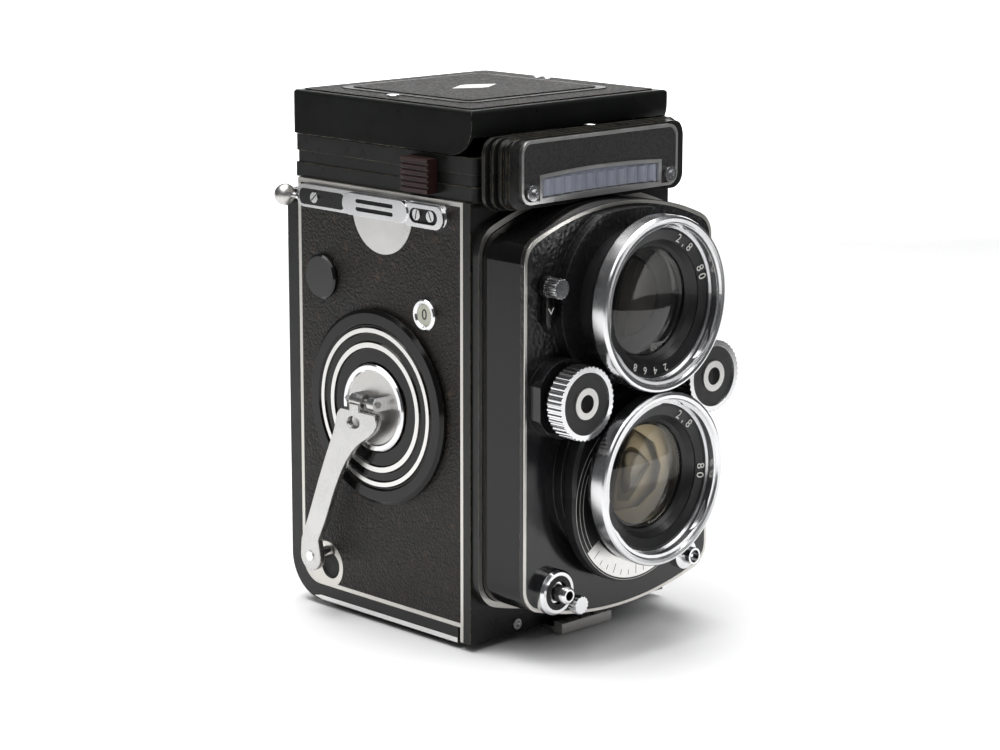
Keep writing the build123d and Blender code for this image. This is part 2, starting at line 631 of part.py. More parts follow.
def hood_catch(side):
    """Fluted sliding catch that frees the hood from the body."""
    y0, y1 = -24.6, -14.0
    z0, z1 = 123.4, 132.6
    inner, outer = side * (HOOD_BASE_HALF_W + 0.05), side * (BODY_HALF_W + 2.6)
    solid = block(inner, outer, y0, y1, z0, z1)
    flutes = 6
    pitch = (z1 - z0) / flutes
    for i in range(1, flutes):
        solid -= rod_y(pitch * 0.32, y0 - 1, y1 + 1, outer, z0 + pitch * i)
    return solid


# ---------------------------------------------------------------- strap rails
def strap_rail(side):
    """Strap rail with a sprung leaf and a ball-ended rear lug."""
    inner, outer = side * SIDE_X, side * (BODY_HALF_W + 1.5)
    face = side * (BODY_HALF_W + RAIL_OUT)
    bar = stadium_x(inner, outer, RAIL_FRONT, RAIL_REAR, RAIL_Z, RAIL_HALF_H)
    leaf = stadium_x(outer - side * 0.1, face, -17.0, 9.0, RAIL_Z, RAIL_HALF_H - 0.2)
    leaf -= stadium_x(outer - side * 0.1, face + side, -11.5, 3.5, RAIL_Z + 1.1, 0.55)
    leaf -= stadium_x(outer - side * 0.1, face + side, -11.5, 3.5, RAIL_Z - 1.1, 0.55)
    loop = stadium_x(outer - side * 0.1, face - side * 0.4, -30.6, -14.5, RAIL_Z - 0.3, RAIL_HALF_H - 0.1)
    loop -= stadium_x(outer - side * 0.1, face + side, -28.4, -17.6, RAIL_Z - 0.3, RAIL_HALF_H - 1.2)
    neck = rod_y(0.9, RAIL_REAR - 1, BALL_Y, side * (BODY_HALF_W + 1.1), RAIL_Z - 0.6)
    return bar + leaf + loop + neck + ball_stud(side)


def ball_stud(side):
    """Ball with a flat face towards the body."""
    base = SIDE_X
    middle = base + BALL_R * 0.6
    tip = middle + BALL_R
    shoulder_r = (BALL_R ** 2 - (middle - base) ** 2) ** 0.5
    outline = Wire([
        Line((side * base, 0), (side * base, shoulder_r)),
        ThreePointArc((side * base, shoulder_r), (side * middle, BALL_R), (side * tip, 0)),
        Line((side * tip, 0), (side * base, 0)),
    ])
    return Pos(0, BALL_Y, RAIL_Z - 0.6) * revolve(make_face(outline), Axis.X)


def strap_screws():
    """Screws of both strap rails."""
    parts = []
    for side in (-1, 1):
        outer = side * (BODY_HALF_W + 1.5)
        for y in (-25.0, -19.6, 22.0):
            parts.append(rod_x(SCREW_R, outer + side * 0.01, outer + side * 0.55, y, RAIL_Z - 0.2))
    return parts


# ---------------------------------------------------------------- side fittings
def half_moon_plate():
    """Bare plate below the crank-side strap rail."""
    x0, x1 = -SIDE_X, -SIDE_X - 0.18
    disc = rod_x(BADGE_R, x0, x1, BADGE_Y, RAIL_Z - 1.0)
    return disc & block(x0, x1, BADGE_Y - 20, BADGE_Y + 20, RAIL_Z - 20, RAIL_Z - RAIL_HALF_H - 0.05)


def blanking_cap():
    """Flash-bracket cap screwed into the crank side."""
    x = -SIDE_X
    return turned_x([(x, 0), (x, CAP_R), (x - 1.0, CAP_R), (x - 1.5, CAP_R - 0.5), (x - 1.5, 0)], CAP_Y, CAP_Z)


def counter_bezel():
    """Bright ring round the exposure counter window."""
    x = -SIDE_X
    bore = COUNTER_R - 1.4
    points = [(x, bore), (x, COUNTER_R), (x - 0.9, COUNTER_R), (x - 1.3, COUNTER_R - 0.4),
              (x - 1.3, bore + 0.4), (x - 0.8, bore)]
    return turned_x(points, COUNTER_Y, COUNTER_Z)


def crank_disc():
    """Dished disc behind the crank, with raised rings."""
    x = -SIDE_X
    face = x - CRANK_FACE + 0.6
    points = [(x, CRANK_HUB_R + 0.4), (x, CRANK_DISC_R), (face + 0.8, CRANK_DISC_R),
              (face, CRANK_DISC_R - 1.0), (face, 23.2), (face + 0.5, 22.7), (face + 0.5, 22.4),
              (face, 22.0), (face, 20.8), (face + 0.5, 20.4), (face + 0.5, 18.4), (face, 18.0),
              (face, 16.6), (face + 0.5, 16.2), (face + 0.5, CRANK_HUB_R + 0.4)]
    return turned_x(points, CRANK_Y, CRANK_Z)


def crank_hub():
    """Winding hub on its shaft, with two hinge knuckles for the folding arm."""
    base = -SIDE_X - FIT
    points = [(base, 0), (base, CRANK_HUB_R), (HUB_FACE + 0.4, CRANK_HUB_R), (HUB_FACE, CRANK_HUB_R - 0.4),
              (HUB_FACE, CRANK_HUB_R - 1.6), (HUB_FACE + 0.4, CRANK_HUB_R - 2.0), (HUB_FACE + 0.4, 0)]
    hub = turned_x(points, CRANK_Y, CRANK_Z)
    hub += rod_x(CRANK_SHAFT_R, -SPOOL_L / 2 - 0.6, base - 0.1, CRANK_Y, CRANK_Z)
    for side in (-1, 1):
        y0 = CRANK_Y + side * 3.6 - 1.3
        y1 = y0 + 2.6
        knuckle = rod_y(KNUCKLE_R, y0, y1, ARM_PIVOT_X, ARM_PIVOT_Z)
        knuckle += block(HUB_FACE + 1, ARM_PIVOT_X, y0, y1, ARM_PIVOT_Z - KNUCKLE_R, ARM_PIVOT_Z + KNUCKLE_R)
        hub += knuckle - rod_y(KNUCKLE_PIN_R, y0 - 1, y1 + 1, ARM_PIVOT_X, ARM_PIVOT_Z)
    return hub


def crank_hinge_pin():
    """Pin through the hub's knuckles and the arm."""
    return rod_y(KNUCKLE_PIN_R, CRANK_Y - 5.3, CRANK_Y + 5.3, ARM_PIVOT_X, ARM_PIVOT_Z)


def crank_arm():
    """Folding winding arm, bowed rearwards from its barrel to the handle end."""
    tip_y, tip_z = ARM_TIP_Y, ARM_TIP_Z
    root_y, neck = CRANK_Y, 2.1
    outline = Wire([
        Line((root_y - neck, ARM_PIVOT_Z), (root_y - neck, ARM_PIVOT_Z - 3)),
        Bezier((root_y - neck, ARM_PIVOT_Z - 3), (root_y - neck, ARM_PIVOT_Z - 10),
               (root_y - 5.0, ARM_PIVOT_Z - 8), (root_y - 3.6, ARM_PIVOT_Z - 13)),
        Bezier((root_y - 3.6, ARM_PIVOT_Z - 13), (root_y + 2.0, ARM_PIVOT_Z - 24),
               (tip_y - 8.0, tip_z + 16), (tip_y - ARM_TIP_R, tip_z)),
        RadiusArc((tip_y - ARM_TIP_R, tip_z), (tip_y + ARM_TIP_R, tip_z), -ARM_TIP_R),
        Bezier((tip_y + ARM_TIP_R, tip_z), (tip_y + 2.0, tip_z + 18), (root_y + 12.0, ARM_PIVOT_Z - 22),
               (root_y + 5.6, ARM_PIVOT_Z - 12)),
        Bezier((root_y + 5.6, ARM_PIVOT_Z - 12), (root_y + 3.6, ARM_PIVOT_Z - 8),
               (root_y + neck, ARM_PIVOT_Z - 9), (root_y + neck, ARM_PIVOT_Z - 3)),
        Line((root_y + neck, ARM_PIVOT_Z - 3), (root_y + neck, ARM_PIVOT_Z)),
        Line((root_y + neck, ARM_PIVOT_Z), (root_y - neck, ARM_PIVOT_Z)),
    ])
    arm = side_profile(outline, ARM_OUT, ARM_IN)
    arm += rod_y(KNUCKLE_R, root_y - neck, root_y + neck, ARM_PIVOT_X, ARM_PIVOT_Z)
    arm -= rod_y(KNUCKLE_PIN_R + RUN, root_y - 3, root_y + 3, ARM_PIVOT_X, ARM_PIVOT_Z)
    return arm - rod_x(PEG_R - 0.2, ARM_OUT - 1, ARM_IN + 1, tip_y, tip_z)


def crank_handle():
    """Handle peg riveted through the arm's free end."""
    inside = -BODY_HALF_W - 0.45
    return (rod_x(PEG_R - 0.25, ARM_OUT - 0.3, ARM_IN, ARM_TIP_Y, ARM_TIP_Z)
            + rod_x(PEG_R, ARM_IN + RUN, inside, ARM_TIP_Y, ARM_TIP_Z))


def focus_knob():
    """Knurled focusing knob on its shaft."""
    top = KNOB_X + FOCUS_KNOB_T
    knob = knurled_x(FOCUS_KNOB_R, KNOB_X, top, FOCUS_Y, FOCUS_Z, KNURL_TEETH["focus"], 0.35)
    knob += rod_x(FOCUS_KNOB_R + 1.2, KNOB_X, KNOB_X + 1.1, FOCUS_Y, FOCUS_Z)
    dish_r = FOCUS_KNOB_R - 2.2
    dish = [(top - 0.6, 4.0), (top - 0.6, dish_r), (top + 1, dish_r), (top + 1, 4.0)]
    knob -= turned_x(dish, FOCUS_Y, FOCUS_Z)
    return knob + rod_x(CRANK_SHAFT_R, SPOOL_L / 2 + 0.8, KNOB_X + 0.1, FOCUS_Y, FOCUS_Z)


def spool_knob(y, z):
    """Pull-out knob whose pin holds one end of a spool."""
    top = KNOB_X + SPOOL_KNOB_T
    knob = knurled_x(SPOOL_KNOB_R, KNOB_X, top, y, z, KNURL_TEETH["spool"], 0.3)
    dish_r = SPOOL_KNOB_R - 1.9
    knob -= turned_x([(top - 0.6, 2.0), (top - 0.6, dish_r), (top + 1, dish_r), (top + 1, 2.0)], y, z)
    return knob + rod_x(PIN_R, SPOOL_L / 2 + 0.15, KNOB_X + 0.1, y, z)


def take_up_key():
    """Driven key on the crank side that turns the take-up spool."""
    shaft = rod_x(PIN_R, -BODY_HALF_W + 0.1, -SPOOL_L / 2 - 0.15, TAKEUP_Y, TAKEUP_Z)
    return shaft + block(-SPOOL_L / 2 - 0.2, -SPOOL_L / 2 + 3.0, TAKEUP_Y - 2.6, TAKEUP_Y + 2.6,
                         TAKEUP_Z - 0.7, TAKEUP_Z + 0.7)


def take_up_spool():
    """Empty 120 spool: slotted core between two flanges."""
    half = SPOOL_L / 2
    core = rod_x(SPOOL_CORE_R, -half, half, TAKEUP_Y, TAKEUP_Z)
    for side in (-1, 1):
        core += rod_x(SPOOL_R, side * half, side * (half - 1.0), TAKEUP_Y, TAKEUP_Z)
    core -= block(-half - 1, -half + 3.4, TAKEUP_Y - 2.8, TAKEUP_Y + 2.8, TAKEUP_Z - 0.85, TAKEUP_Z + 0.85)
    core -= block(-25, 25, TAKEUP_Y - 0.7, TAKEUP_Y + 0.7, TAKEUP_Z - 7, TAKEUP_Z + 7)
    return core


# ---------------------------------------------------------------- front standard
def front_standard():
    """Sleeve of the front standard, open to the rear."""
    outer = arched_block(STANDARD_FRONT, SLEEVE_BACK)
    inner = arched_block(STANDARD_FRONT - 1, SLEEVE_BACK + 1, -STANDARD_WALL)
    return outer - inner


def lens_board():
    """Moulded lens board with raised surrounds for both lenses."""
    board = arched_block(BOARD_FRONT + 0.5, STANDARD_FRONT - 0.01)
    board += arched_block(BOARD_FRONT, BOARD_FRONT + 0.6, -TRIM_INSET)
    raised = block(-19, 19, BOARD_FRONT - 3.0, BOARD_FRONT + 0.4, TAKING_Z, VIEWING_Z)
    for z in (TAKING_Z, VIEWING_Z):
        raised += rod_y(25.4, BOARD_FRONT - 3.0, BOARD_FRONT + 0.4, 0, z)
    for side in (-1, 1):
        raised += rod_y(WHEEL_R + 0.8, BOARD_FRONT + 0.4, BOARD_FRONT - 4.2, side * WHEEL_X, WHEEL_Z)
    raised -= rod_y(24.6, BOARD_FRONT - 10, BOARD_FRONT - 3.01, 0, TAKING_Z)
    board += raised & arched_block(BOARD_FRONT - 20, STANDARD_FRONT - 0.01, -TRIM_INSET - 0.7)
    for z in (TAKING_Z, VIEWING_Z):
        board -= rod_y(17.0, BOARD_FRONT - 10, STANDARD_FRONT + 1, 0, z)
    for side in (-1, 1):
        board -= rod_y(WHEEL_SPINDLE_R, BOARD_FRONT - 6, STANDARD_FRONT + 1, side * WHEEL_X, WHEEL_Z)
    board -= rod_y(RELEASE_R + 1.4, BOARD_FRONT - 9, STANDARD_FRONT + 1, RELEASE_X, RELEASE_Z)
    board -= rod_y(SPINDLE_R + RUN, BOARD_FRONT - 9, STANDARD_FRONT + 1, LOCK_X, LOCK_Z)
    board -= rod_y(SPINDLE_R + RUN, BOARD_FRONT - 9, STANDARD_FRONT + 1, SYNC_X, SYNC_Z)
    board -= rod_y(FLASH_R + RUN, BOARD_FRONT - 9, STANDARD_FRONT + 1, FLASH_X, RELEASE_Z)
    return board


def board_trim():
    """Bright line inlaid just inside the board's edge."""
    y0, y1 = BOARD_FRONT, BOARD_FRONT + 0.49
    return arched_block(y0, y1, -0.15) - arched_block(y0 - 1, y1 + 1, -TRIM_INSET + 0.05)


def lens_tube(z, depth):
    """Black lens barrel with the stepped cone that narrows to the front glass."""
    front = BEZEL_FRONT
    mouth = front + BAYONET_DEPTH
    points = [(BARREL_R, mouth), (BARREL_R, front + BEZEL_DEPTH + 2), (19.0, front + BEZEL_DEPTH + 2),
              (19.0, BOARD_FRONT - 3.02), (16.8, BOARD_FRONT - 3.02), (16.8, BOARD_FRONT + depth),
              (GLASS_FRONT_R - 1.4, BOARD_FRONT + depth), (GLASS_FRONT_R - 1.4, front + 9.5),
              (GLASS_FRONT_R + 0.05, front + 9.5), (GLASS_FRONT_R + 0.05, front + 7.0),
              (GLASS_FRONT_R + 0.9, front + 6.2), (BARREL_R - 3.2, mouth + 1.2), (BARREL_R - 3.2, mouth + 0.8),
              (BARREL_R - 0.6, mouth + 0.2), (BARREL_R - 0.6, mouth)]
    return turned_y(points, 0, z)


def lens_bezel(z):
    """Bright bezel: outer rim, set-back inner lip and three bayonet gates."""
    front = BEZEL_FRONT
    back = front + BEZEL_DEPTH
    lip = front + BEZEL_STEP
    seat_r = BARREL_R + FIT
    points = [(BEZEL_BORE_R, lip), (BEZEL_BORE_R + 0.9, lip), (BEZEL_BORE_R + 1.3, front + 0.15),
              (BEZEL_R - 0.8, front), (BEZEL_R - 0.25, front + 0.25), (BEZEL_R, front + 0.8),
              (BEZEL_R, back - 2.4), (BEZEL_R - 1.6, back), (seat_r, back), (seat_r, front + BAYONET_DEPTH),
              (BEZEL_BORE_R, front + BAYONET_DEPTH)]
    ring = turned_y(points, 0, z)
    gate_r = 9.0
    reach = BEZEL_BORE_R + 0.8 - gate_r
    for i in range(3):
        angle = radians(80 + 120 * i)
        ring -= rod_y(gate_r, front - 1, lip + 1.1, reach * cos(angle), z + reach * sin(angle))
    return ring


def front_glass(z):
    """Domed front element."""
    r = GLASS_FRONT_R
    seat = BEZEL_FRONT + 9.4
    crown = BEZEL_FRONT + 5.2
    rim = BEZEL_FRONT + 7.4
    dome_r = (r ** 2 + (rim - crown) ** 2) / (2 * (rim - crown))
    outline = Wire([
        Line((0, seat), (r, seat)),
        Line((r, seat), (r, rim)),
        ThreePointArc((r, rim), (r / 2, crown + dome_r - (dome_r ** 2 - r ** 2 / 4) ** 0.5), (0, crown)),
        Line((0, crown), (0, seat)),
    ])
    return Pos(0, 0, z) * revolve(make_face(outline), Axis.Y)


def rear_glass(z, depth):
    """Rear element in the tail of the barrel."""
    r = GLASS_FRONT_R - 1.5
    y0 = BOARD_FRONT + depth - 3.5
    return rod_y(r, y0, y0 + 2.6, 0, z)


def shutter_housing():
    """Egg-shaped cover of the leaf shutter, dropped below the taking barrel."""
    front = BOARD_FRONT - 3.02
    solid = None
    for drop in (0.0, SHUTTER_DROP):
        points = [(0, front), (SHUTTER_R, front), (SHUTTER_R, front - 2.6), (SHUTTER_R - 0.8, front - 3.6),
                  (0, front - 3.6)]
        cover = turned_y(points, 0, TAKING_Z - drop)
        solid = cover if solid is None else solid + cover
    return solid - rod_y(19.05, front - 9, front + 9, 0, TAKING_Z)


def leaf_ring(y, blades, opening):
    """Overlapping leaves round an opening, as one laminated ring."""
    hole = Plane(origin=(0, y + 0.3, TAKING_Z), x_dir=(1, 0, 0), z_dir=(0, 1, 0)) * RegularPolygon(opening, blades)
    disc = rod_y(GLASS_FRONT_R - 1.5, y - 0.3, y + 0.3, 0, TAKING_Z)
    return disc - extrude(hole, 2, both=True)


def exposure_wheel(side):
    """Knurled wheel with a recessed face, on its spindle."""
    x = side * WHEEL_X
    back = WHEEL_FACE + WHEEL_T
    wheel = knurled_y(WHEEL_R, WHEEL_FACE, back, x, WHEEL_Z, KNURL_TEETH["exposure"], 0.3)
    dish_in, dish_out = 2.4, WHEEL_R - 1.6
    floor = WHEEL_FACE + 0.5
    wheel -= turned_y([(dish_in, floor), (dish_out, floor), (dish_out, floor - 2), (dish_in, floor - 2)], x, WHEEL_Z)
    return wheel + rod_y(WHEEL_SPINDLE_R - RUN, back - 0.1, STANDARD_FRONT + 0.5, x, WHEEL_Z)


def release_collar():
    """Collar round the shutter release."""
    front = BOARD_FRONT - 3.2
    points = [(RELEASE_R + 0.1, STANDARD_FRONT), (RELEASE_R + 1.35, STANDARD_FRONT),
              (RELEASE_R + 1.35, BOARD_FRONT - 0.02), (RELEASE_COLLAR_R, BOARD_FRONT - 0.02),
              (RELEASE_COLLAR_R, front + 0.8), (RELEASE_COLLAR_R - 0.6, front), (RELEASE_R + 1.6, front),
              (RELEASE_R + 1.4, front + 0.8), (RELEASE_R + FIT, front + 0.8)]
    return turned_y(points, RELEASE_X, RELEASE_Z)


def release_button():
    """Shutter release, threaded inside for a cable."""
    front = BOARD_FRONT - 7.2
    button = turned_y([(0, STANDARD_FRONT - 0.5), (RELEASE_R, STANDARD_FRONT - 0.5), (RELEASE_R, front + 0.5),
                       (RELEASE_R - 0.5, front), (0, front)], RELEASE_X, RELEASE_Z)
    return button - rod_y(CABLE_R, front - 1, front + CABLE_DEPTH, RELEASE_X, RELEASE_Z)


def release_lock():
    """Milled knob of the release lock beside the button."""
    front = BOARD_FRONT - 4.4
    knob = knurled_y(LOCK_R, front, front + 2.6, LOCK_X, LOCK_Z, KNURL_TEETH["lock"], 0.25)
    return knob + rod_y(SPINDLE_R, front + 2.5, STANDARD_FRONT, LOCK_X, LOCK_Z)


def sync_lever():
    """Self-timer and flash lever with its knurled end."""
    y1 = BOARD_FRONT - 0.5
    half_w, strip = 1.7, 1.6
    arm = block(SYNC_X - half_w, SYNC_X + half_w, y1 - strip, y1, SYNC_Z - SYNC_ARM_L, SYNC_Z)
    arm += rod_y(half_w, y1 - strip, y1, SYNC_X, SYNC_Z - SYNC_ARM_L)
    arm += rod_y(3.0, y1 - strip, y1, SYNC_X, SYNC_Z)
    arm += knurled_y(2.7, y1 - 5.6, y1 - strip + 0.1, SYNC_X, SYNC_Z, KNURL_TEETH["sync"], 0.25)
    return arm + rod_y(SPINDLE_R, y1 - 0.1, STANDARD_FRONT, SYNC_X, SYNC_Z)


def flash_socket():
    """Coaxial flash socket."""
    front = BOARD_FRONT - 4.6
    depth, flange_r = 4.2, 4.2
    points = [(FLASH_BORE_R, front), (FLASH_R, front), (FLASH_R, BOARD_FRONT - 1.8),
              (flange_r, BOARD_FRONT - 1.4), (flange_r, BOARD_FRONT - 0.02),
              (FLASH_R, BOARD_FRONT - 0.02), (FLASH_R, STANDARD_FRONT),
              (0, STANDARD_FRONT), (0, front + depth), (FLASH_BORE_R, front + depth)]
    socket = turned_y(points, FLASH_X, RELEASE_Z)
    return socket + rod_y(0.5, front + 1.0, front + depth + 0.1, FLASH_X, RELEASE_Z)


# ---------------------------------------------------------------- back door
def back_door():
    """L-shaped door: back and bottom in one pressing, with side flanges and hinge barrel."""
    top = HINGE_Z - 0.4
    front = DOOR_FRONT
    outer = side_profile(heel_outline(front, DOOR_BOTTOM, BODY_BACK, top, DOOR_CORNER_R),
                         -BODY_HALF_W, BODY_HALF_W)
    inner = side_profile(heel_outline(front - 1, DOOR_BOTTOM + DOOR_T, BODY_BACK - DOOR_T, top + 1,
                                      DOOR_CORNER_R - DOOR_T), -CASTING_HALF_W - FIT, CASTING_HALF_W + FIT)
    web = side_profile(heel_outline(front - 1, PLATE_FLOOR - FIT, PLATE_BACK + FIT, top + 1,
                                    DOOR_CORNER_R - DOOR_EDGE - FIT), -BODY_HALF_W - 1, BODY_HALF_W + 1)
    door = outer - inner - web
    barrel = rod_x(HINGE_R, -HINGE_HALF_L, HINGE_HALF_L, HINGE_Y, HINGE_Z)
    barrel += block(-HINGE_HALF_L, HINGE_HALF_L, HINGE_Y - 0.6, HINGE_Y + 1.2, top - 2, HINGE_Z)
    door += barrel
    for side in (-1, 1):
        x0 = side * HINGE_LEAF_X - HINGE_LEAF_HALF_L - GAP
        x1 = side * HINGE_LEAF_X + HINGE_LEAF_HALF_L + GAP
        door -= block(x0, x1, HINGE_Y - 3, BODY_BACK + 1,
                      HINGE_Z - HINGE_R - GAP, HINGE_Z + 3)
    door -= rod_x(HINGE_PIN_R + RUN, -HINGE_HALF_L - 1, HINGE_HALF_L + 1, HINGE_Y, HINGE_Z)
    door -= rod_z(SOCKET_R + 2.0, DOOR_BOTTOM - 1, DOOR_BOTTOM + DOOR_T + 1, 0, 0)
    return door


def door_hinge():
    """Two hinge leaves screwed to the casting, with the door's hinge pin."""
    parts = None
    for side in (-1, 1):
        x0 = side * HINGE_LEAF_X - HINGE_LEAF_HALF_L
        x1 = side * HINGE_LEAF_X + HINGE_LEAF_HALF_L
        leaf = rod_x(HINGE_R, x0, x1, HINGE_Y, HINGE_Z)
        leaf += block(x0, x1, CASTING_BACK - 2.19, HINGE_Y, HINGE_Z - 0.7, HINGE_Z + 0.7)
        parts = leaf if parts is None else parts + leaf
    return parts + rod_x(HINGE_PIN_R, -HINGE_HALF_L + 0.5, HINGE_HALF_L - 0.5, HINGE_Y, HINGE_Z)


def back_leather():
    """Covering of the door's back."""
    y0, y1 = BODY_BACK + 0.01, BODY_BACK + 0.4
    skin = block(-BODY_HALF_W + 1.6, BODY_HALF_W - 1.6, y0, y1, DOOR_BOTTOM + DOOR_CORNER_R, HINGE_Z - 4.0)
    return fillet(skin.edges().filter_by(Axis.Y), 2.0)


def pressure_plate():
    """Ribbed film pressure plate."""
    y1 = BODY_BACK - DOOR_T - 0.02
    half_z = GATE / 2 + 5
    return block(-GATE / 2 - 4, GATE / 2 + 4, FILM_Y + 0.2, y1, TAKING_Z - half_z, TAKING_Z + half_z)


def tripod_socket():
    """Threaded boss for a tripod screw, flush with the feet."""
    boss = rod_z(SOCKET_R + 1.9, 0.0, SOCKET_DEPTH + 1.3, 0, 0)
    boss += rod_z(SOCKET_FLANGE_R, 0.0, DOOR_BOTTOM - 0.02, 0, 0)
    return boss - rod_z(SOCKET_R, -1, SOCKET_DEPTH, 0, 0)


def feet():
    """Four feet pressed into the door's underside."""
    parts = []
    for x in (-FOOT_X, FOOT_X):
        for y in (FOOT_FRONT_Y, FOOT_REAR_Y):
            foot = rod_z(FOOT_R, 0, DOOR_BOTTOM - 0.02, x, y)
            parts.append(chamfer(foot.edges().sort_by(Axis.Z)[0], 0.4))
    return Compound(children=parts)


def lock_ring():
    """Ring round the tripod socket that locks the back."""
    z0, z1 = 0.4, DOOR_BOTTOM - 0.15
    ring = rod_z(LOCK_RING_R, z0, z1, 0, 0) - rod_z(SOCKET_FLANGE_R + GAP, -1, 3, 0, 0)
    return ring + block(-3, 3, -LOCK_RING_R - 4, -LOCK_RING_R + 1, z0, z1)


def back_latch():
    """Ribbed latch tongue under the front edge."""
    low, high = 0.5, 1.5
    grip_h = 3.9
    tongue = block(-LATCH_HALF_W, LATCH_HALF_W, LATCH_PIVOT_Y, LATCH_FRONT, low, high)
    grip = block(-LATCH_HALF_W - 1.3, LATCH_HALF_W + 1.3, LATCH_FRONT + 3.3, LATCH_FRONT, low, grip_h)
    tongue += chamfer(grip.edges().filter_by(Axis.X).sort_by(Axis.Z)[-2:], 0.5)
    ribs = 4
    pitch = 2 * LATCH_HALF_W / (ribs - 1) * 0.88
    for i in range(ribs):
        tongue -= rod_y(0.5, LATCH_FRONT - 1, LATCH_FRONT + 4.4, pitch * (i - (ribs - 1) / 2), grip_h)
    return tongue + rod_x(0.55, -LATCH_HALF_W, LATCH_HALF_W, LATCH_PIVOT_Y, LATCH_PIVOT_Z)


def front_screws():
    """Small ringed screws low on the front of the casting."""
    parts = []
    for side in (-1, 1):
        x, z = side * 21.0, 4.6
        screw = rod_y(SCREW_R, BODY_FRONT - 0.7, BODY_FRONT - 0.01, x, z)
        parts.append(screw - rod_y(0.8, BODY_FRONT - 2, BODY_FRONT - 0.4, x, z))
    return parts


# ---------------------------------------------------------------- build
def group(*solids):
    """Like pieces kept in one node as separate solids."""
    return Compound(children=list(solids))


def body_screws():
    return group(*strap_screws(), *meter_bushes(), *front_screws())


NODES = {
    "body_casting": body_casting,
    "side_plate_left": lambda: side_plate(-1),
    "side_plate_right": lambda: side_plate(1),
    "side_leather": lambda: group(leather(-1), leather(1)),
    "front_collar": front_collar,
    "reflex_mirror": mirror,
    "focusing_screen": focusing_screen,
    "meter_housing": meter_housing,
    "meter_faceplate": meter_faceplate,
    "meter_window": meter_window,
    "body_screws": body_screws,
    "hood_base": hood_base,
    "hood_lid": hood_lid,
    "lid_leather": lambda: group(lid_leather(), hood_panel()),
    "hood_flap_left": lambda: flap(-1),
    "hood_flap_right": lambda: flap(1),
    "hood_flap_back": flap_back,
    "magnifier_frame": magnifier_frame,
    "magnifier_lens": magnifier_lens,
    "hood_catch_left": lambda: hood_catch(-1),
    "hood_catch_right": lambda: hood_catch(1),
    "strap_rails": lambda: group(strap_rail(-1), strap_rail(1)),
    "half_moon_plate": half_moon_plate,
    "blanking_cap": blanking_cap,
    "counter_bezel": counter_bezel,
    "crank_disc": crank_disc,
    "crank_hub": crank_hub,
    "crank_hinge_pin": crank_hinge_pin,
    "crank_arm": crank_arm,
    "crank_handle": crank_handle,
    "focus_knob": focus_knob,
    "supply_knob": lambda: spool_knob(SUPPLY_Y, SUPPLY_Z),
    "take_up_knob": lambda: spool_knob(TAKEUP_Y, TAKEUP_Z),
    "take_up_key": take_up_key,
    "take_up_spool": take_up_spool,
    "front_standard": front_standard,
    "lens_board": lens_board,
    "board_trim": board_trim,
    "viewing_barrel": lambda: lens_tube(VIEWING_Z, VIEWING_TAIL),
    "taking_barrel": lambda: lens_tube(TAKING_Z, TAKING_TAIL),
    "lens_bezels": lambda: group(lens_bezel(VIEWING_Z), lens_bezel(TAKING_Z)),
    "front_glasses": lambda: group(front_glass(VIEWING_Z), front_glass(TAKING_Z)),
    "rear_glasses": lambda: group(rear_glass(VIEWING_Z, VIEWING_TAIL), rear_glass(TAKING_Z, TAKING_TAIL)),
    "shutter_housing": shutter_housing,
    "shutter_leaves": lambda: group(leaf_ring(SHUTTER_Y, 5, 8.0), leaf_ring(IRIS_Y, 10, 9.5)),
    "aperture_wheel": lambda: exposure_wheel(1),
    "shutter_wheel": lambda: exposure_wheel(-1),
    "release_collar": release_collar,
    "release_button": release_button,
    "release_lock": release_lock,
    "sync_lever": sync_lever,
    "flash_socket": flash_socket,
    "back_door": back_door,
    "door_hinge": door_hinge,
    "back_leather": back_leather,
    "pressure_plate": pressure_plate,
    "tripod_socket": tripod_socket,
    "feet": feet,
    "lock_ring": lock_ring,
    "back_latch": back_latch,
}


def main():
    os.makedirs("parts", exist_ok=True)
    for name, make in NODES.items():
        export_step(make(), os.path.join("parts", name + ".step"))


main()
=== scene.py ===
import json
from math import cos, pi, radians, sin, sqrt

import bmesh
import bpy
from mathutils import Matrix, Vector


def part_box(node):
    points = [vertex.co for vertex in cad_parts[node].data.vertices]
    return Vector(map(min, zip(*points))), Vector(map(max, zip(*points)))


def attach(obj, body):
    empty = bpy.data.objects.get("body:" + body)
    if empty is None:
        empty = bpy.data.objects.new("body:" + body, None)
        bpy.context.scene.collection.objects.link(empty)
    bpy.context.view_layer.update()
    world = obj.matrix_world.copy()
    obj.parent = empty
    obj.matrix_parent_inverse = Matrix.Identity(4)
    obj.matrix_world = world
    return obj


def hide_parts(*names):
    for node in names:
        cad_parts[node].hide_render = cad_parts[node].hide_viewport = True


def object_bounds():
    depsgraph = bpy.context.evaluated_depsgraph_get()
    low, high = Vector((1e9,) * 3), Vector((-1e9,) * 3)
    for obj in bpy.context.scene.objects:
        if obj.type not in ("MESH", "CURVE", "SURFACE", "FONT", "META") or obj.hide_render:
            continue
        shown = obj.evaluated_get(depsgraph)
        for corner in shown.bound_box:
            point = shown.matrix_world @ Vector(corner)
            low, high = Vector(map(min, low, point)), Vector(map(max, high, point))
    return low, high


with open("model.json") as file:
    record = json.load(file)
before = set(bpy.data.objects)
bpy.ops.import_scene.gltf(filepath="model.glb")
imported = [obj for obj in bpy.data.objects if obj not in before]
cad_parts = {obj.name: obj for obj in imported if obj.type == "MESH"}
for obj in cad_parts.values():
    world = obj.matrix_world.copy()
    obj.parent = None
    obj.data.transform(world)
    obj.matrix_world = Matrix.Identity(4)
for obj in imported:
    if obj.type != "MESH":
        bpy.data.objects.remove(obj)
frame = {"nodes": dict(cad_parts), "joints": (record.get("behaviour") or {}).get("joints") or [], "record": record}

CAD_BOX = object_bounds()
NODES = frame["nodes"]
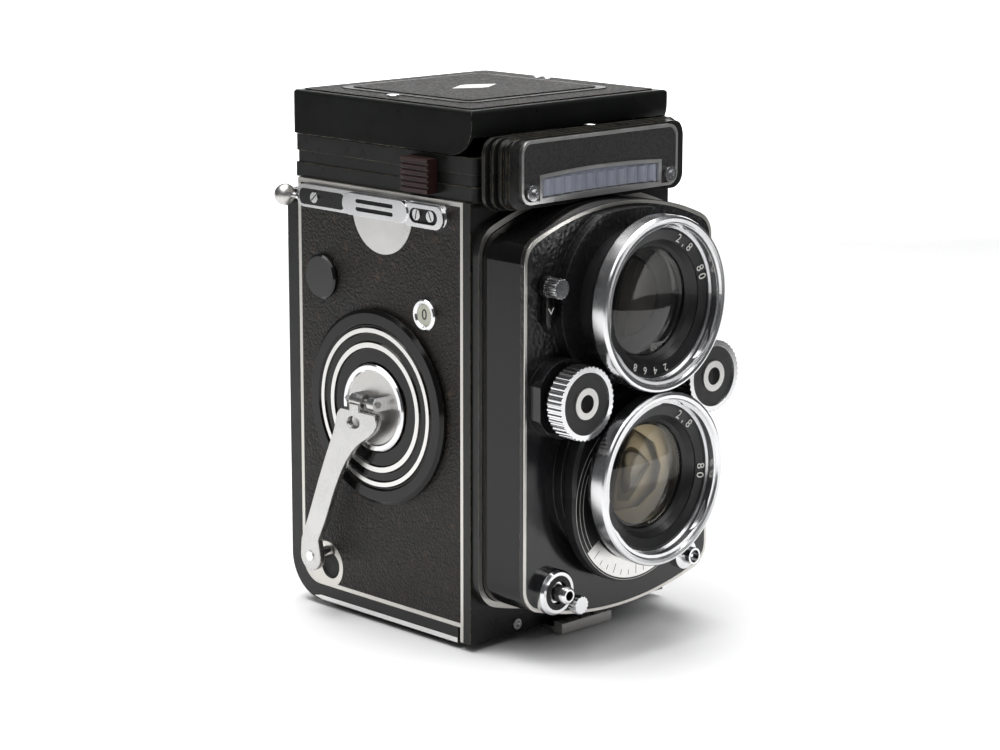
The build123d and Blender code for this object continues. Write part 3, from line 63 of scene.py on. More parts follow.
MOUNTS = {m["name"]: m for m in frame["record"]["mounts"]}
JOINTS = {j["name"]: j for j in frame["joints"]}
MM = 0.001

# camera: the angle, distance and lens of the view
CAMERA_AZIMUTH = -44.39
CAMERA_ELEVATION = 12.02
CAMERA_ROLL = 0.12
CAMERA_DISTANCE = 0.7712
CAMERA_AIM = (0.0, -0.01265, 0.070)
CAMERA_LENS = 99.15
CAMERA_SHIFT = (-0.00581, -0.01080)


# ---------------------------------------------------------------- node helpers
def shader(name, base, metallic=0.0, roughness=0.5, **sockets):
    """A material with its Principled node; sockets names any other constant input."""
    material = bpy.data.materials.new(name)
    material.use_nodes = True
    principled = material.node_tree.nodes["Principled BSDF"]
    principled.inputs["Base Color"].default_value = (*base, 1.0)
    principled.inputs["Metallic"].default_value = metallic
    principled.inputs["Roughness"].default_value = roughness
    for socket, value in sockets.items():
        principled.inputs[socket.replace("_", " ")].default_value = value
    return material, material.node_tree, principled


def add(tree, kind, **settings):
    node = tree.nodes.new("ShaderNode" + kind)
    for key, value in settings.items():
        if key in node.inputs:
            node.inputs[key].default_value = value
        else:
            setattr(node, key, value)
    return node


def coords(tree):
    return add(tree, "TexCoord").outputs["Object"]


def noise(tree, scale, detail=4.0, rough=0.55, vector=None):
    node = add(tree, "TexNoise", Scale=scale, Detail=detail, Roughness=rough)
    tree.links.new(vector or coords(tree), node.inputs["Vector"])
    return node.outputs["Fac"]


def cells(tree, scale, feature="F1", randomness=1.0):
    node = add(tree, "TexVoronoi", feature=feature, Scale=scale, Randomness=randomness)
    tree.links.new(coords(tree), node.inputs["Vector"])
    return node.outputs["Distance"]


def ramp(tree, source, stops):
    """Colour ramp through (position, colour or grey) stops."""
    node = add(tree, "ValToRGB")
    elements = node.color_ramp.elements
    while len(elements) < len(stops):
        elements.new(0.5)
    for element, (position, colour) in zip(elements, stops):
        element.position = position
        grey = isinstance(colour, (int, float))
        element.color = (colour, colour, colour, 1) if grey else (*colour, 1)
    tree.links.new(source, node.inputs["Fac"])
    return node.outputs["Color"]


def remap(tree, source, low, high, to_low, to_high):
    node = add(tree, "MapRange")
    for socket, value in zip(("From Min", "From Max", "To Min", "To Max"), (low, high, to_low, to_high)):
        node.inputs[socket].default_value = value
    tree.links.new(source, node.inputs["Value"])
    return node.outputs["Result"]


def calc(tree, operation, a, b):
    node = add(tree, "Math", operation=operation)
    for index, value in enumerate((a, b)):
        if isinstance(value, (int, float)):
            node.inputs[index].default_value = value
        else:
            tree.links.new(value, node.inputs[index])
    return node.outputs[0]


def blend_colours(tree, factor, a, b):
    node = add(tree, "Mix", data_type="RGBA")
    tree.links.new(factor, node.inputs["Factor"])
    for socket, value in (("A", a), ("B", b)):
        target = [s for s in node.inputs if s.name == socket and s.type == "RGBA"][0]
        if isinstance(value, tuple):
            target.default_value = (*value, 1)
        else:
            tree.links.new(value, target)
    return [s for s in node.outputs if s.type == "RGBA"][0]


def bump(tree, principled, layers, bevel=0.0):
    """Stack bump layers (height, strength, distance in mm) on an optional rounded edge."""
    normal = None
    if bevel:
        node = add(tree, "Bevel", samples=4)
        node.inputs["Radius"].default_value = bevel * MM
        normal = node.outputs["Normal"]
    for height, strength, distance in layers:
        node = add(tree, "Bump")
        node.inputs["Strength"].default_value = strength
        node.inputs["Distance"].default_value = distance * MM
        tree.links.new(height, node.inputs["Height"])
        if normal is not None:
            tree.links.new(normal, node.inputs["Normal"])
        normal = node.outputs["Normal"]
    tree.links.new(normal, principled.inputs["Normal"])


def edge_mask(tree, radius, low=0.70, high=0.93):
    """One on worn edges and nought on flats, broken up by noise."""
    bevel = add(tree, "Bevel", samples=6)
    bevel.inputs["Radius"].default_value = radius * MM
    flat = add(tree, "NewGeometry").outputs["Normal"]
    dot = add(tree, "VectorMath", operation="DOT_PRODUCT")
    tree.links.new(bevel.outputs["Normal"], dot.inputs[0])
    tree.links.new(flat, dot.inputs[1])
    edge = remap(tree, dot.outputs["Value"], low, high, 1.0, 0.0)
    patches = remap(tree, noise(tree, 420, 6, 0.7), 0.42, 0.62, 0.0, 1.0)
    return calc(tree, "MULTIPLY", edge, patches)


# ---------------------------------------------------------------- materials
def leather_material(name, tone, rubbed, specular):
    """Grained covering: pebbles with rounded tops, creases between them painted darker as shade and tops painted
    lighter as highlight, over a random tone, with brown rubbed through.
    """
    material, tree, principled = shader(name, tone, 0, 0.5, Specular_IOR_Level=specular)
    grain = cells(tree, 1450, "SMOOTH_F1")
    pores = cells(tree, 2600)
    creases = noise(tree, 900, 8, 0.7)
    broad = noise(tree, 45, 3, 0.5)
    height = calc(tree, "ADD", calc(tree, "MULTIPLY", grain, -0.8), calc(tree, "MULTIPLY", creases, 0.7))
    # Painted shade and highlight: the relief height darkens the creases and lightens the pebble tops; the broad noise
    # adds a random tone.
    shade = ramp(tree, calc(tree, "ADD", calc(tree, "MULTIPLY", height, 0.9), calc(tree, "MULTIPLY", broad, 0.25)),
                 [(0.02, tuple(c * 0.25 for c in tone)), (0.30, tone), (0.52, tuple(c * 1.9 for c in tone))])
    spots = remap(tree, noise(tree, 210, 7, 0.75), 0.57, 0.70, 0.0, 0.8)
    tree.links.new(blend_colours(tree, spots, shade, rubbed), principled.inputs["Base Color"])
    tree.links.new(remap(tree, creases, 0.3, 0.7, 0.34, 0.6), principled.inputs["Roughness"])
    bump(tree, principled, [(height, 1.0, 0.30), (pores, 0.3, 0.06)])
    return material


def paint_material(name, base, roughness, wear=(0.35, 0.27, 0.17), bevel=0.18, specular=0.4):
    """Enamel over brass: faint orange peel, handling haze and rubbed edges."""
    material, tree, principled = shader(name, base, 0, roughness, Specular_IOR_Level=specular)
    haze = noise(tree, 60, 5, 0.6)
    tone = ramp(tree, haze, [(0.3, tuple(c * 0.75 for c in base)), (0.7, tuple(c * 1.35 for c in base))])
    worn = edge_mask(tree, 0.28)
    tree.links.new(blend_colours(tree, worn, tone, wear), principled.inputs["Base Color"])
    tree.links.new(calc(tree, "MULTIPLY", worn, 0.85), principled.inputs["Metallic"])
    scuffs = noise(tree, 240, 8, 0.75)
    tree.links.new(remap(tree, scuffs, 0.35, 0.75, roughness * 0.8, roughness * 1.5), principled.inputs["Roughness"])
    bump(tree, principled, [(noise(tree, 900, 3, 0.5), 0.10, 0.03)], bevel)
    return material


def board_material():
    """Lens board: gloss black below, pebbled above the exposure wheels, rubbed along its edges."""
    material, tree, principled = shader("board_black_enamel", (0.008, 0.008, 0.009), 0, 0.13)
    height = add(tree, "SeparateXYZ")
    tree.links.new(coords(tree), height.inputs[0])
    upper = remap(tree, height.outputs["Z"], 0.076, 0.083, 0.0, 1.0)
    pebbles = cells(tree, 850, "SMOOTH_F1")
    scuffs = noise(tree, 300, 8, 0.75)
    worn = calc(tree, "MULTIPLY", edge_mask(tree, 0.22), 0.5)
    tree.links.new(blend_colours(tree, worn, (0.008, 0.008, 0.009), (0.30, 0.25, 0.19)), principled.inputs["Base Color"])
    rough = calc(tree, "ADD", calc(tree, "MULTIPLY", upper, 0.16), remap(tree, scuffs, 0.35, 0.75, 0.10, 0.24))
    tree.links.new(rough, principled.inputs["Roughness"])
    bump(tree, principled, [(calc(tree, "MULTIPLY", pebbles, upper), 0.8, 0.25), (scuffs, 0.05, 0.02)], 0.22)
    return material


def crinkle_material():
    """Black wrinkle finish of the nameplate field."""
    material, tree, principled = shader("crinkle_black", (0.02, 0.021, 0.02), 0, 0.5)
    wrinkles = cells(tree, 2300, "SMOOTH_F1")
    tree.links.new(ramp(tree, wrinkles, [(0.1, 0.035), (0.6, 0.012)]), principled.inputs["Base Color"])
    bump(tree, principled, [(wrinkles, 0.6, 0.12)])
    return material


def metal_material(name, base, roughness, grain=0.35, scratches=0.4, bevel=0.12, stretch=None):
    """Plated metal with fine scratches, cloudy handling marks and softened edges."""
    material, tree, principled = shader(name, base, 1.0, roughness)
    vector = coords(tree)
    if stretch:
        mapping = add(tree, "Mapping")
        mapping.inputs["Scale"].default_value = stretch
        tree.links.new(vector, mapping.inputs["Vector"])
        vector = mapping.outputs["Vector"]
    fine = noise(tree, 1500, 6, 0.7, vector)
    cloud = noise(tree, 90, 5, 0.6)
    tone = ramp(tree, cloud, [(0.25, tuple(c * 0.84 for c in base)), (0.65, base)])
    tree.links.new(tone, principled.inputs["Base Color"])
    spread = calc(tree, "ADD", calc(tree, "MULTIPLY", fine, grain), calc(tree, "MULTIPLY", cloud, scratches))
    tree.links.new(remap(tree, spread, 0.15, 0.6, roughness * 0.7, roughness * 1.5), principled.inputs["Roughness"])
    bump(tree, principled, [(fine, 0.08, 0.006)], bevel)
    return material


def anodised_material(name, base=(0.009, 0.009, 0.010), roughness=0.32):
    """Black anodised metal with a faint turned grain."""
    material, tree, principled = shader(name, base, 0.0, roughness, Specular_IOR_Level=0.4)
    tree.links.new(remap(tree, noise(tree, 130, 5), 0.3, 0.7, roughness * 0.8, roughness * 1.35),
                   principled.inputs["Roughness"])
    tree.links.new(ramp(tree, noise(tree, 70), [(0.3, tuple(c * 0.7 for c in base)), (0.7, tuple(c * 1.5 for c in base))]),
                   principled.inputs["Base Color"])
    bump(tree, principled, [(noise(tree, 1400, 4, 0.6), 0.12, 0.015)], 0.1)
    return material


def glass_material(name, tint, roughness=0.002):
    """Coated optical glass with a trace of dust."""
    material, tree, principled = shader(name, tint, 0, roughness, Transmission_Weight=1.0, IOR=1.5)
    tree.links.new(remap(tree, noise(tree, 160, 6), 0.4, 0.8, roughness, roughness * 1.4 + 0.002),
                   principled.inputs["Roughness"])
    bump(tree, principled, [(noise(tree, 90, 2), 0.01, 0.001)])
    return material


def plain_material(name, base, roughness=0.5, metallic=0.0, scale=500, depth=0.05):
    """Quiet surface with slight mottling and micro relief."""
    material, tree, principled = shader(name, base, metallic, roughness)
    mottle = noise(tree, scale, 5, 0.6)
    tree.links.new(ramp(tree, mottle, [(0.25, tuple(c * 0.8 for c in base)), (0.75, base)]),
                   principled.inputs["Base Color"])
    tree.links.new(remap(tree, mottle, 0.3, 0.7, roughness * 0.85, min(1, roughness * 1.25)),
                   principled.inputs["Roughness"])
    bump(tree, principled, [(mottle, 0.2, depth)])
    return material


M = {
    "leather": leather_material("leather_grain", (0.016, 0.0125, 0.010), (0.075, 0.042, 0.024), 0.36),
    "lid_skin": leather_material("lid_leather_grain", (0.014, 0.012, 0.010), (0.060, 0.042, 0.026), 0.04),
    "paint": paint_material("satin_black_enamel", (0.007, 0.008, 0.007), 0.32, specular=0.35),
    "lid_paint": paint_material("lid_black_enamel", (0.008, 0.009, 0.008), 0.34, (0.55, 0.52, 0.46), 0.4, 0.10),
    "gloss": paint_material("gloss_black_enamel", (0.004, 0.004, 0.004), 0.12, wear=(0.42, 0.28, 0.17), specular=0.3),
    "board": board_material(),
    "crinkle": crinkle_material(),
    "chrome": metal_material("bright_chrome", (0.80, 0.80, 0.81), 0.13),
    "turned": metal_material("turned_chrome", (0.76, 0.76, 0.77), 0.29, 0.15, 0.15, 0.2),
    "satin": metal_material("satin_chrome", (0.62, 0.61, 0.59), 0.33),
    "brushed": metal_material("brushed_arm", (0.58, 0.575, 0.56), 0.26, stretch=(1, 1, 0.12)),
    "steel": metal_material("plain_steel", (0.42, 0.41, 0.39), 0.36),
    "rim": metal_material("polished_rim", (0.90, 0.90, 0.89), 0.35, bevel=0.05),
    "trim": metal_material("worn_trim", (0.66, 0.64, 0.60), 0.32, bevel=0.08),
    "frame": metal_material("bright_frame", (0.82, 0.81, 0.79), 0.30, bevel=0.05),
    "lenslet": plain_material("lenslet_glass", (0.52, 0.55, 0.65), 0.10, 0.35, 120, 0.004),
    "anodised": anodised_material("black_anodised"),
    "brown": plain_material("brown_bakelite", (0.026, 0.0095, 0.008), 0.34),
    "bakelite": plain_material("black_bakelite", (0.006, 0.006, 0.006), 0.13, scale=90, depth=0.004),
    "face": plain_material("wheel_face_black", (0.014, 0.014, 0.014), 0.45),
    "white": plain_material("white_engraving", (0.72, 0.72, 0.68), 0.55),
    "ivory": plain_material("ivory_dial", (0.62, 0.62, 0.52), 0.45),
    # Black for real black rings, ticks and numerals, and also painted shade in the cable socket mouth, the side
    # plate's pocket, the screw slots and the rail slots.
    "dark": plain_material("black_marks_and_painted_recess_shade", (0.006, 0.006, 0.006), 0.6),
    "blade": metal_material("shutter_blade", (0.46, 0.40, 0.30), 0.42),
    # Painted light: the amber inner element stands for the coating reflection of the taking lens's inner glass, and
    # the smoke one for the shade inside the viewing lens.
    "amber": plain_material("inner_element_painted_coating_reflection", (0.33, 0.29, 0.21), 0.16, scale=60, depth=0.0004),
    "smoke": plain_material("inner_element_painted_interior_shade", (0.070, 0.062, 0.055), 0.12, scale=60, depth=0.0004),
    "mirror": metal_material("silvered_mirror", (0.88, 0.89, 0.90), 0.03, bevel=0.05),
    "viewing_glass": glass_material("viewing_lens_glass", (0.96, 0.96, 0.93)),
    "taking_glass": glass_material("taking_lens_glass", (0.99, 0.96, 0.88)),
    "window": glass_material("meter_window_glass", (0.90, 0.93, 0.95), 0.08),
    "ground": glass_material("ground_glass", (0.86, 0.88, 0.88), 0.35),
}
NODE_MATERIAL = {
    "body_casting": "paint", "side_plate_left": "trim", "side_plate_right": "trim", "side_leather": "leather",
    "front_collar": "paint", "reflex_mirror": "mirror", "focusing_screen": "ground", "meter_housing": "paint",
    "meter_faceplate": "frame", "meter_window": "lenslet", "body_screws": "chrome", "hood_base": "paint",
    "hood_lid": "lid_paint", "lid_leather": "lid_skin", "hood_flap_left": "paint", "hood_flap_right": "paint",
    "hood_flap_back": "paint", "magnifier_frame": "paint", "magnifier_lens": "window", "hood_catch_left": "brown",
    "hood_catch_right": "brown", "strap_rails": "chrome", "half_moon_plate": "frame", "blanking_cap": "bakelite",
    "counter_bezel": "chrome", "crank_disc": "gloss", "crank_hub": "chrome", "crank_hinge_pin": "steel",
    "crank_arm": "brushed", "crank_handle": "chrome", "focus_knob": "satin", "supply_knob": "satin",
    "take_up_knob": "satin", "take_up_key": "steel", "take_up_spool": "bakelite", "front_standard": "gloss",
    "lens_board": "board", "board_trim": "trim", "viewing_barrel": "anodised", "taking_barrel": "anodised",
    "lens_bezels": "turned", "front_glasses": "window", "rear_glasses": "window", "shutter_housing": "anodised",
    "shutter_leaves": "blade", "aperture_wheel": "chrome", "shutter_wheel": "chrome", "release_collar": "chrome",
    "release_button": "chrome", "release_lock": "chrome", "sync_lever": "bakelite", "flash_socket": "chrome",
    "back_door": "paint", "door_hinge": "paint", "back_leather": "leather", "pressure_plate": "paint",
    "tripod_socket": "steel", "feet": "steel", "lock_ring": "satin", "back_latch": "satin",
}
for node, key in NODE_MATERIAL.items():
    NODES[node].data.materials.clear()
    NODES[node].data.materials.append(M[key])


# ---------------------------------------------------------------- mesh helpers
def piece(name, shape, material, body):
    """Link a mesh as a piece that rides on a body, smooth but for its sharp edges."""
    mesh = shape
    if isinstance(shape, bmesh.types.BMesh):
        mesh = bpy.data.meshes.new(name)
        bmesh.ops.recalc_face_normals(shape, faces=shape.faces)
        shape.to_mesh(mesh)
        shape.free()
    mesh.materials.append(M[material])
    mesh.shade_smooth()
    mesh.set_sharp_from_angle(angle=radians(35))
    made = bpy.data.objects.new(name, mesh)
    bpy.context.scene.collection.objects.link(made)
    if body is None:
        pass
    else:
        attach(made, body)
    return made


def lathe(name, profile, centre, axis, material, body, segments=64, arc=None):
    """Turn (radius, height) points in mm about an axis through centre; -x, -y and -z look the other way."""
    heading = -1 if axis[0] == "-" else 1
    along = Vector({"x": (1, 0, 0), "y": (0, 1, 0), "z": (0, 0, 1)}[axis[-1]]) * heading
    start, span = arc or (0, 2 * pi)
    count = segments + 1 if arc else segments
    bm = bmesh.new()
    rows = []
    for i in range(count):
        angle = start + span * i / segments
        radial = {"x": Vector((0, cos(angle), sin(angle))), "y": Vector((cos(angle), 0, sin(angle))),
                  "z": Vector((cos(angle), sin(angle), 0))}[axis[-1]]
        rows.append([bm.verts.new(Vector(centre) + (radial * r + along * h) * MM) for r, h in profile])
    for i in range(segments):
        a, b = rows[i], rows[(i + 1) % count]
        for j in range(len(profile) - 1):
            bm.faces.new((a[j], a[j + 1], b[j + 1], b[j]))
    bmesh.ops.remove_doubles(bm, verts=bm.verts, dist=1e-7)
    bmesh.ops.dissolve_degenerate(bm, dist=1e-8, edges=bm.edges)
    return piece(name, bm, material, body)


def text(name, words, size, place, facing, material, body, spin=0.0, depth=0.06):
    """Generic numerals as thin raised mesh; facing is the direction that they are read from."""
    curve = bpy.data.curves.new(name, "FONT")
    curve.body = words
    curve.size = size * MM
    curve.align_x = "CENTER"
    curve.align_y = "CENTER"
    curve.extrude = depth * MM
    curve.resolution_u = 3
    holder = bpy.data.objects.new(name + "_curve", curve)
    bpy.context.scene.collection.objects.link(holder)
    bpy.context.view_layer.update()
    mesh = bpy.data.meshes.new_from_object(holder)
    bpy.data.objects.remove(holder)
    facing = Vector(facing)
    up = Vector((0, 0, 1)) if abs(facing.z) < 0.9 else Vector((0, 1, 0))
    side = up.cross(facing).normalized()
    turn = Matrix((side, facing.cross(side), facing)).transposed() @ Matrix.Rotation(spin, 3, "Z")
    mesh.transform(Matrix.Translation(Vector(place)) @ turn.to_4x4())
    mesh.name = name
    return piece(name, mesh, material, body)


def paint_faces(node, material, test):
    """Give one material to the faces of a CAD node whose centre (mm) and normal pass a test."""
    mesh = NODES[node].data
    if M[material].name not in mesh.materials:
        mesh.materials.append(M[material])
    index = mesh.materials.find(M[material].name)
    for polygon in mesh.polygons:
        if test(polygon.center / MM, polygon.normal):
            polygon.material_index = index


def islands(node):
    """Bounding boxes (mm) of the separate solids in a CAD node."""
    bm = bmesh.new()
    bm.from_mesh(NODES[node].data)
    bmesh.ops.remove_doubles(bm, verts=bm.verts, dist=1e-6)
    seen, boxes = set(), []
    for vert in bm.verts:
        if vert in seen:
            continue
        stack, group = [vert], []
        seen.add(vert)
        while stack:
            v = stack.pop()
            group.append(v.co / MM)
            for edge in v.link_edges:
                other = edge.other_vert(v)
                if other not in seen:
                    seen.add(other)
                    stack.append(other)
        boxes.append((Vector([min(c[i] for c in group) for i in range(3)]),
                      Vector([max(c[i] for c in group) for i in range(3)])))
    bm.free()
    return sorted(boxes, key=lambda b: tuple(b[0]))


def slab(name, low, high, material, body, bevel=0.0, turn=0.0, axis="X"):
    """Bevelled block between two corners in mm, turned about its own middle."""
    low, high = Vector(low), Vector(high)
    middle, half = (low + high) / 2, (high - low) / 2
    bm = bmesh.new()
    bmesh.ops.create_cube(bm, size=2.0)
    for vert in bm.verts:
        vert.co = Vector([vert.co[i] * half[i] for i in range(3)]) * MM
    if bevel:
        bmesh.ops.bevel(bm, geom=list(bm.edges), offset=bevel * MM, segments=2, profile=0.6, affect="EDGES")
    bm.transform(Matrix.Translation(middle * MM) @ Matrix.Rotation(turn, 4, axis))
    return piece(name, bm, material, body)


def plate(name, outline, plane, level, thickness, material, body):
    """Thin plate from a closed outline (mm) in a plane, "x" for (y, z), "y" for (x, z) or "z" for (x, y)."""
    bm = bmesh.new()
    order = {"x": lambda a, b, c: (c, a, b), "y": lambda a, b, c: (a, c, b), "z": lambda a, b, c: (a, b, c)}[plane]
    rows = [[bm.verts.new(Vector(order(a, b, h)) * MM) for a, b in outline] for h in (level, level + thickness)]
    bm.faces.new(rows[0])
    bm.faces.new(reversed(rows[1]))
    for i in range(len(outline)):
        j = (i + 1) % len(outline)
        bm.faces.new((rows[0][i], rows[0][j], rows[1][j], rows[1][i]))
    return piece(name, bm, material, body)


def cut_plate(name, outline, holes, low, high, edge, material, body):
    """Plate in a plane of constant x, in mm, with holes through it and a rounded edge."""
    curve = bpy.data.curves.new(name, "CURVE")
    curve.dimensions = "2D"
    curve.fill_mode = "BOTH"
    for points in [outline] + holes:
        spline = curve.splines.new("POLY")
        spline.points.add(len(points) - 1)
        for point, (y, z) in zip(spline.points, points):
            point.co = (y * MM, z * MM, 0, 1)
        spline.use_cyclic_u = True
    curve.extrude = ((high - low) / 2 - edge) * MM
    curve.bevel_depth = edge * MM
    curve.bevel_resolution = 2
    curve.offset = -edge * MM
    holder = bpy.data.objects.new(name + "_curve", curve)
    bpy.context.scene.collection.objects.link(holder)
    bpy.context.view_layer.update()
    mesh = bpy.data.meshes.new_from_object(holder)
    bpy.data.objects.remove(holder)
    turn = Matrix(((0, 0, 1), (1, 0, 0), (0, 1, 0)))
    mesh.transform(Matrix.Translation(Vector(((low + high) / 2 * MM, 0, 0))) @ turn.to_4x4())
    mesh.name = name
    return piece(name, mesh, material, body)


def curve_through(points, steps=6):
    """Smooth run of points through the given ones."""
    out = []
    for i in range(len(points) - 1):
        p = [Vector(points[min(max(j, 0), len(points) - 1)]) for j in (i - 1, i, i + 1, i + 2)]
        for k in range(steps):
            t = k / steps
            out.append(tuple(0.5 * (2 * p[1] + (p[2] - p[0]) * t + (2 * p[0] - 5 * p[1] + 4 * p[2] - p[3]) * t * t
                                    + (3 * p[1] - p[0] - 3 * p[2] + p[3]) * t ** 3)))
    return out + [tuple(points[-1])]


def rounded(cx, cz, half_w, half_h, radius, steps=8):
    """Closed outline of a rectangle with round corners."""
    points = []
    for sx, sz, start in ((1, 1, 0), (-1, 1, 90), (-1, -1, 180), (1, -1, 270)):
        for i in range(steps + 1):
            angle = radians(start + 90 * i / steps)
            points.append((cx + sx * (half_w - radius) + radius * cos(angle),
                           cz + sz * (half_h - radius) + radius * sin(angle)))
    return points


def node_span(node):
    """Corners of a CAD node's box in mm."""
    low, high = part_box(node)
    return low / MM, high / MM


def near(value, target, slack=0.12):
    return abs(value - target) < slack


def radius_round(centre, first, second):
    """Function that gives a point's distance from an axis, in the plane of two coordinates."""
    return lambda p: ((p[first] - centre[first]) ** 2 + (p[second] - centre[second]) ** 2) ** 0.5


# ---------------------------------------------------------------- lenses
LENSES = {
    "taking": MOUNTS["taking_bayonet"]["pos_m"][2],
    "viewing": MOUNTS["viewing_bayonet"]["pos_m"][2],
}
BEZEL_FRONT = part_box("lens_bezels")[0].y
GLASS_R = (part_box("front_glasses")[1].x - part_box("front_glasses")[0].x) / 2 / MM


def dome(radius, depth, steps=12):
    """Profile of a spherical cap from its crown (height 0) back to its rim."""
    curve = (radius ** 2 + depth ** 2) / (2 * depth)
    return [(radius * i / steps, sqrt(curve ** 2 - (radius * i / steps) ** 2) - curve) for i in range(steps + 1)]


def lens_pieces(name, z):
    """Front element and a concave element behind it; the viewing lens also gets a dark stop round its inner element.
    """
    front = BEZEL_FRONT
    r = GLASS_R - 0.05
    crown = (0, front + 5.3 * MM, z)
    glass = name + "_glass"
    element = lathe(name + "_front_element", dome(r, 2.1) + [(r, -4.0), (r - 0.6, -4.2), (0, -3.4)], crown, "-y",
                    glass, "standard", 96)
    back = (0, front + 13.6 * MM, z)
    inner_r = GLASS_R - 1.6
    if name == "taking":
        dish = [(0, -2.6), (4.0, -2.3), (8.8, -1.2), (9.2, -0.9), (9.6, -1.1), (11.2, -0.3), (11.6, 0.1), (inner_r, 0.5),
                (inner_r, -3.0), (0, -3.2)]
        # Opaque dish painted amber as the coating reflection of the inner glass.
        inner = lathe("taking_inner_element", dish, back, "-y", "amber", "standard", 72)
    else:
        dish = dome(9.4, 1.4) + [(9.6, -1.8), (9.6, -2.4), (0, -2.6)]
        # Opaque dome painted dark as the shade inside the viewing lens.
        inner = lathe("viewing_inner_element", dish, back, "-y", "smoke", "standard", 72)
        collar = [(9.7, -2.4), (9.7, -1.0), (10.4, -0.6), (inner_r, -0.4), (inner_r, -2.4)]
        lathe("viewing_inner_stop", collar, back, "-y", "dark", "standard", 72)
    return element


fronts = [lens_pieces(name, z) for name, z in LENSES.items()]
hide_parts("front_glasses")


def name_ring(name, z, groups):
    """White numerals engraved on the sloped face just inside a bezel."""
    radius, level = 18.1, BEZEL_FRONT / MM + 3.42
    for label, words, middle, pitch, size in groups:
        count = len(words)
        for i, letter in enumerate(words):
            if letter == " ":
                continue
            angle = radians(middle - (i - (count - 1) / 2) * pitch)
            place = Vector((radius * cos(angle), level, z / MM + radius * sin(angle))) * MM
            facing = Vector((-0.22 * cos(angle), -1, -0.22 * sin(angle))).normalized()
            text(f"{name}_{label}_{i}", letter, size, place, facing, "white", "standard", spin=angle - pi / 2, depth=0.015)


name_ring("viewing_numeral", LENSES["viewing"], [("a", "2,8  80", 40, 8.0, 3.4), ("b", "2 4 6 8", 262, 6.4, 2.9)])
name_ring("taking_numeral", LENSES["taking"], [("a", "2,8", 52, 8.0, 3.4), ("b", "80", -4, 8.0, 3.4)])


# ---------------------------------------------------------------- front
def exposure_wheel(node, joint):
    """Black face with a bright ring between knurled rim and black middle."""
    axis = Vector(JOINTS[joint]["pos_m"]) / MM
    low, high = node_span(node)
    front, r = low.y, (high.x - low.x) / 2
    body = JOINTS[joint]["child"]
    radius = radius_round(axis, 0, 2)
    paint_faces(node, "face", lambda c, n: n.y < -0.9 and (radius(c) < r - 1.2 and c.y > front + 0.2 or radius(c) < 2.4))
    centre = (axis.x * MM, front * MM, axis.z * MM)
    ring = [(2.45, -0.45), (2.45, 0.0), (4.2, 0.0), (4.2, -0.45)]
    lathe(node + "_ring", ring, centre, "-y", "frame", body, 64)
    disc = [(0, -0.02), (0, 0.0), (2.4, 0.0), (2.4, -0.02)]
    lathe(node + "_middle", disc, centre, "-y", "face", body, 48)


exposure_wheel("aperture_wheel", "aperture_turn")
exposure_wheel("shutter_wheel", "shutter_turn")

def shutter_scale():
    """Satin arc let into the foot of the shutter cover, with engraved lines but no words."""
    low, high = node_span("shutter_housing")
    face, r = low.y, (high.x - low.x) / 2
    middle_z = low.z + r
    centre = (0, face * MM, middle_z * MM)
    arc = (radians(214), radians(112))
    band = [(r - 6.4, 0.0), (r - 6.4, 0.05), (r - 1.2, 0.05), (r - 1.2, 0.0)]
    lathe("shutter_scale_plate", band, centre, "-y", "frame", "standard", 48, arc)
    for radius in (r - 0.75, r - 2.1, r - 3.4):
        line = [(radius, 0.0), (radius, 0.03), (radius + 0.16, 0.03), (radius + 0.16, 0.0)]
        span = (radians(120), radians(94)) if radius < r - 1 else (radians(112), radians(226))
        lathe(f"shutter_line_{radius:.0f}", line, centre, "-y", "white", "standard", 64, span)
    for i in range(13):
        angle = radians(222 + 8 * i)
        inner = r - (4.6 if i % 3 == 0 else 3.4)
        middle, half = (inner + r - 2.0) / 2, (r - 2.0 - inner) / 2
        place = Vector((middle * cos(angle), face - 0.06, middle_z + middle * sin(angle)))
        slab(f"shutter_tick_{i}", place - Vector((half, 0.01, 0.09)), place + Vector((half, 0.01, 0.09)), "dark",
             "standard", 0, -angle, "Y")


shutter_scale()

def release_details():
    """Black ring inside the release's collar, and painted shade in the mouth of its cable socket."""
    release = Vector(MOUNTS["cable_release_socket"]["pos_m"]) / MM
    front = node_span("release_collar")[0].y
    ring = [(3.1, -0.02), (3.1, 0.03), (4.7, 0.03), (4.7, -0.02)]
    lathe("release_inner_ring", ring, (release.x * MM, front * MM, release.z * MM), "-y", "dark", "standard", 48)
    radius = radius_round(release, 0, 2)
    # Painted shade: the faces inside the socket mouth are painted black.
    paint_faces("release_button", "dark", lambda c, n: radius(c) < 1.45 and c.y > release.y + 0.02)


release_details()
paint_faces("front_collar", "trim", lambda c, n: n.y < -0.9)
paint_faces("front_collar", "paint", lambda c, n: n.y >= -0.9)


def lever_marks():
    """Bright knurled end on the lever, with a white arrow on its arm."""
    pivot = Vector(JOINTS["flash_lever_swing"]["pos_m"]) / MM
    front = node_span("sync_lever")[0].y
    arm = front + 4.0
    paint_faces("sync_lever", "chrome", lambda c, n: c.y < arm - 0.1)
    arrow = [(-1.1, 0.9), (0, -0.9), (1.1, 0.9), (0.75, 0.9), (0, -0.35), (-0.75, 0.9)]
    plate("lever_arrow", [(pivot.x + a, pivot.z - 6.4 + b) for a, b in arrow], "y", arm - 0.03, 0.02, "white",
          "flash_lever")


lever_marks()


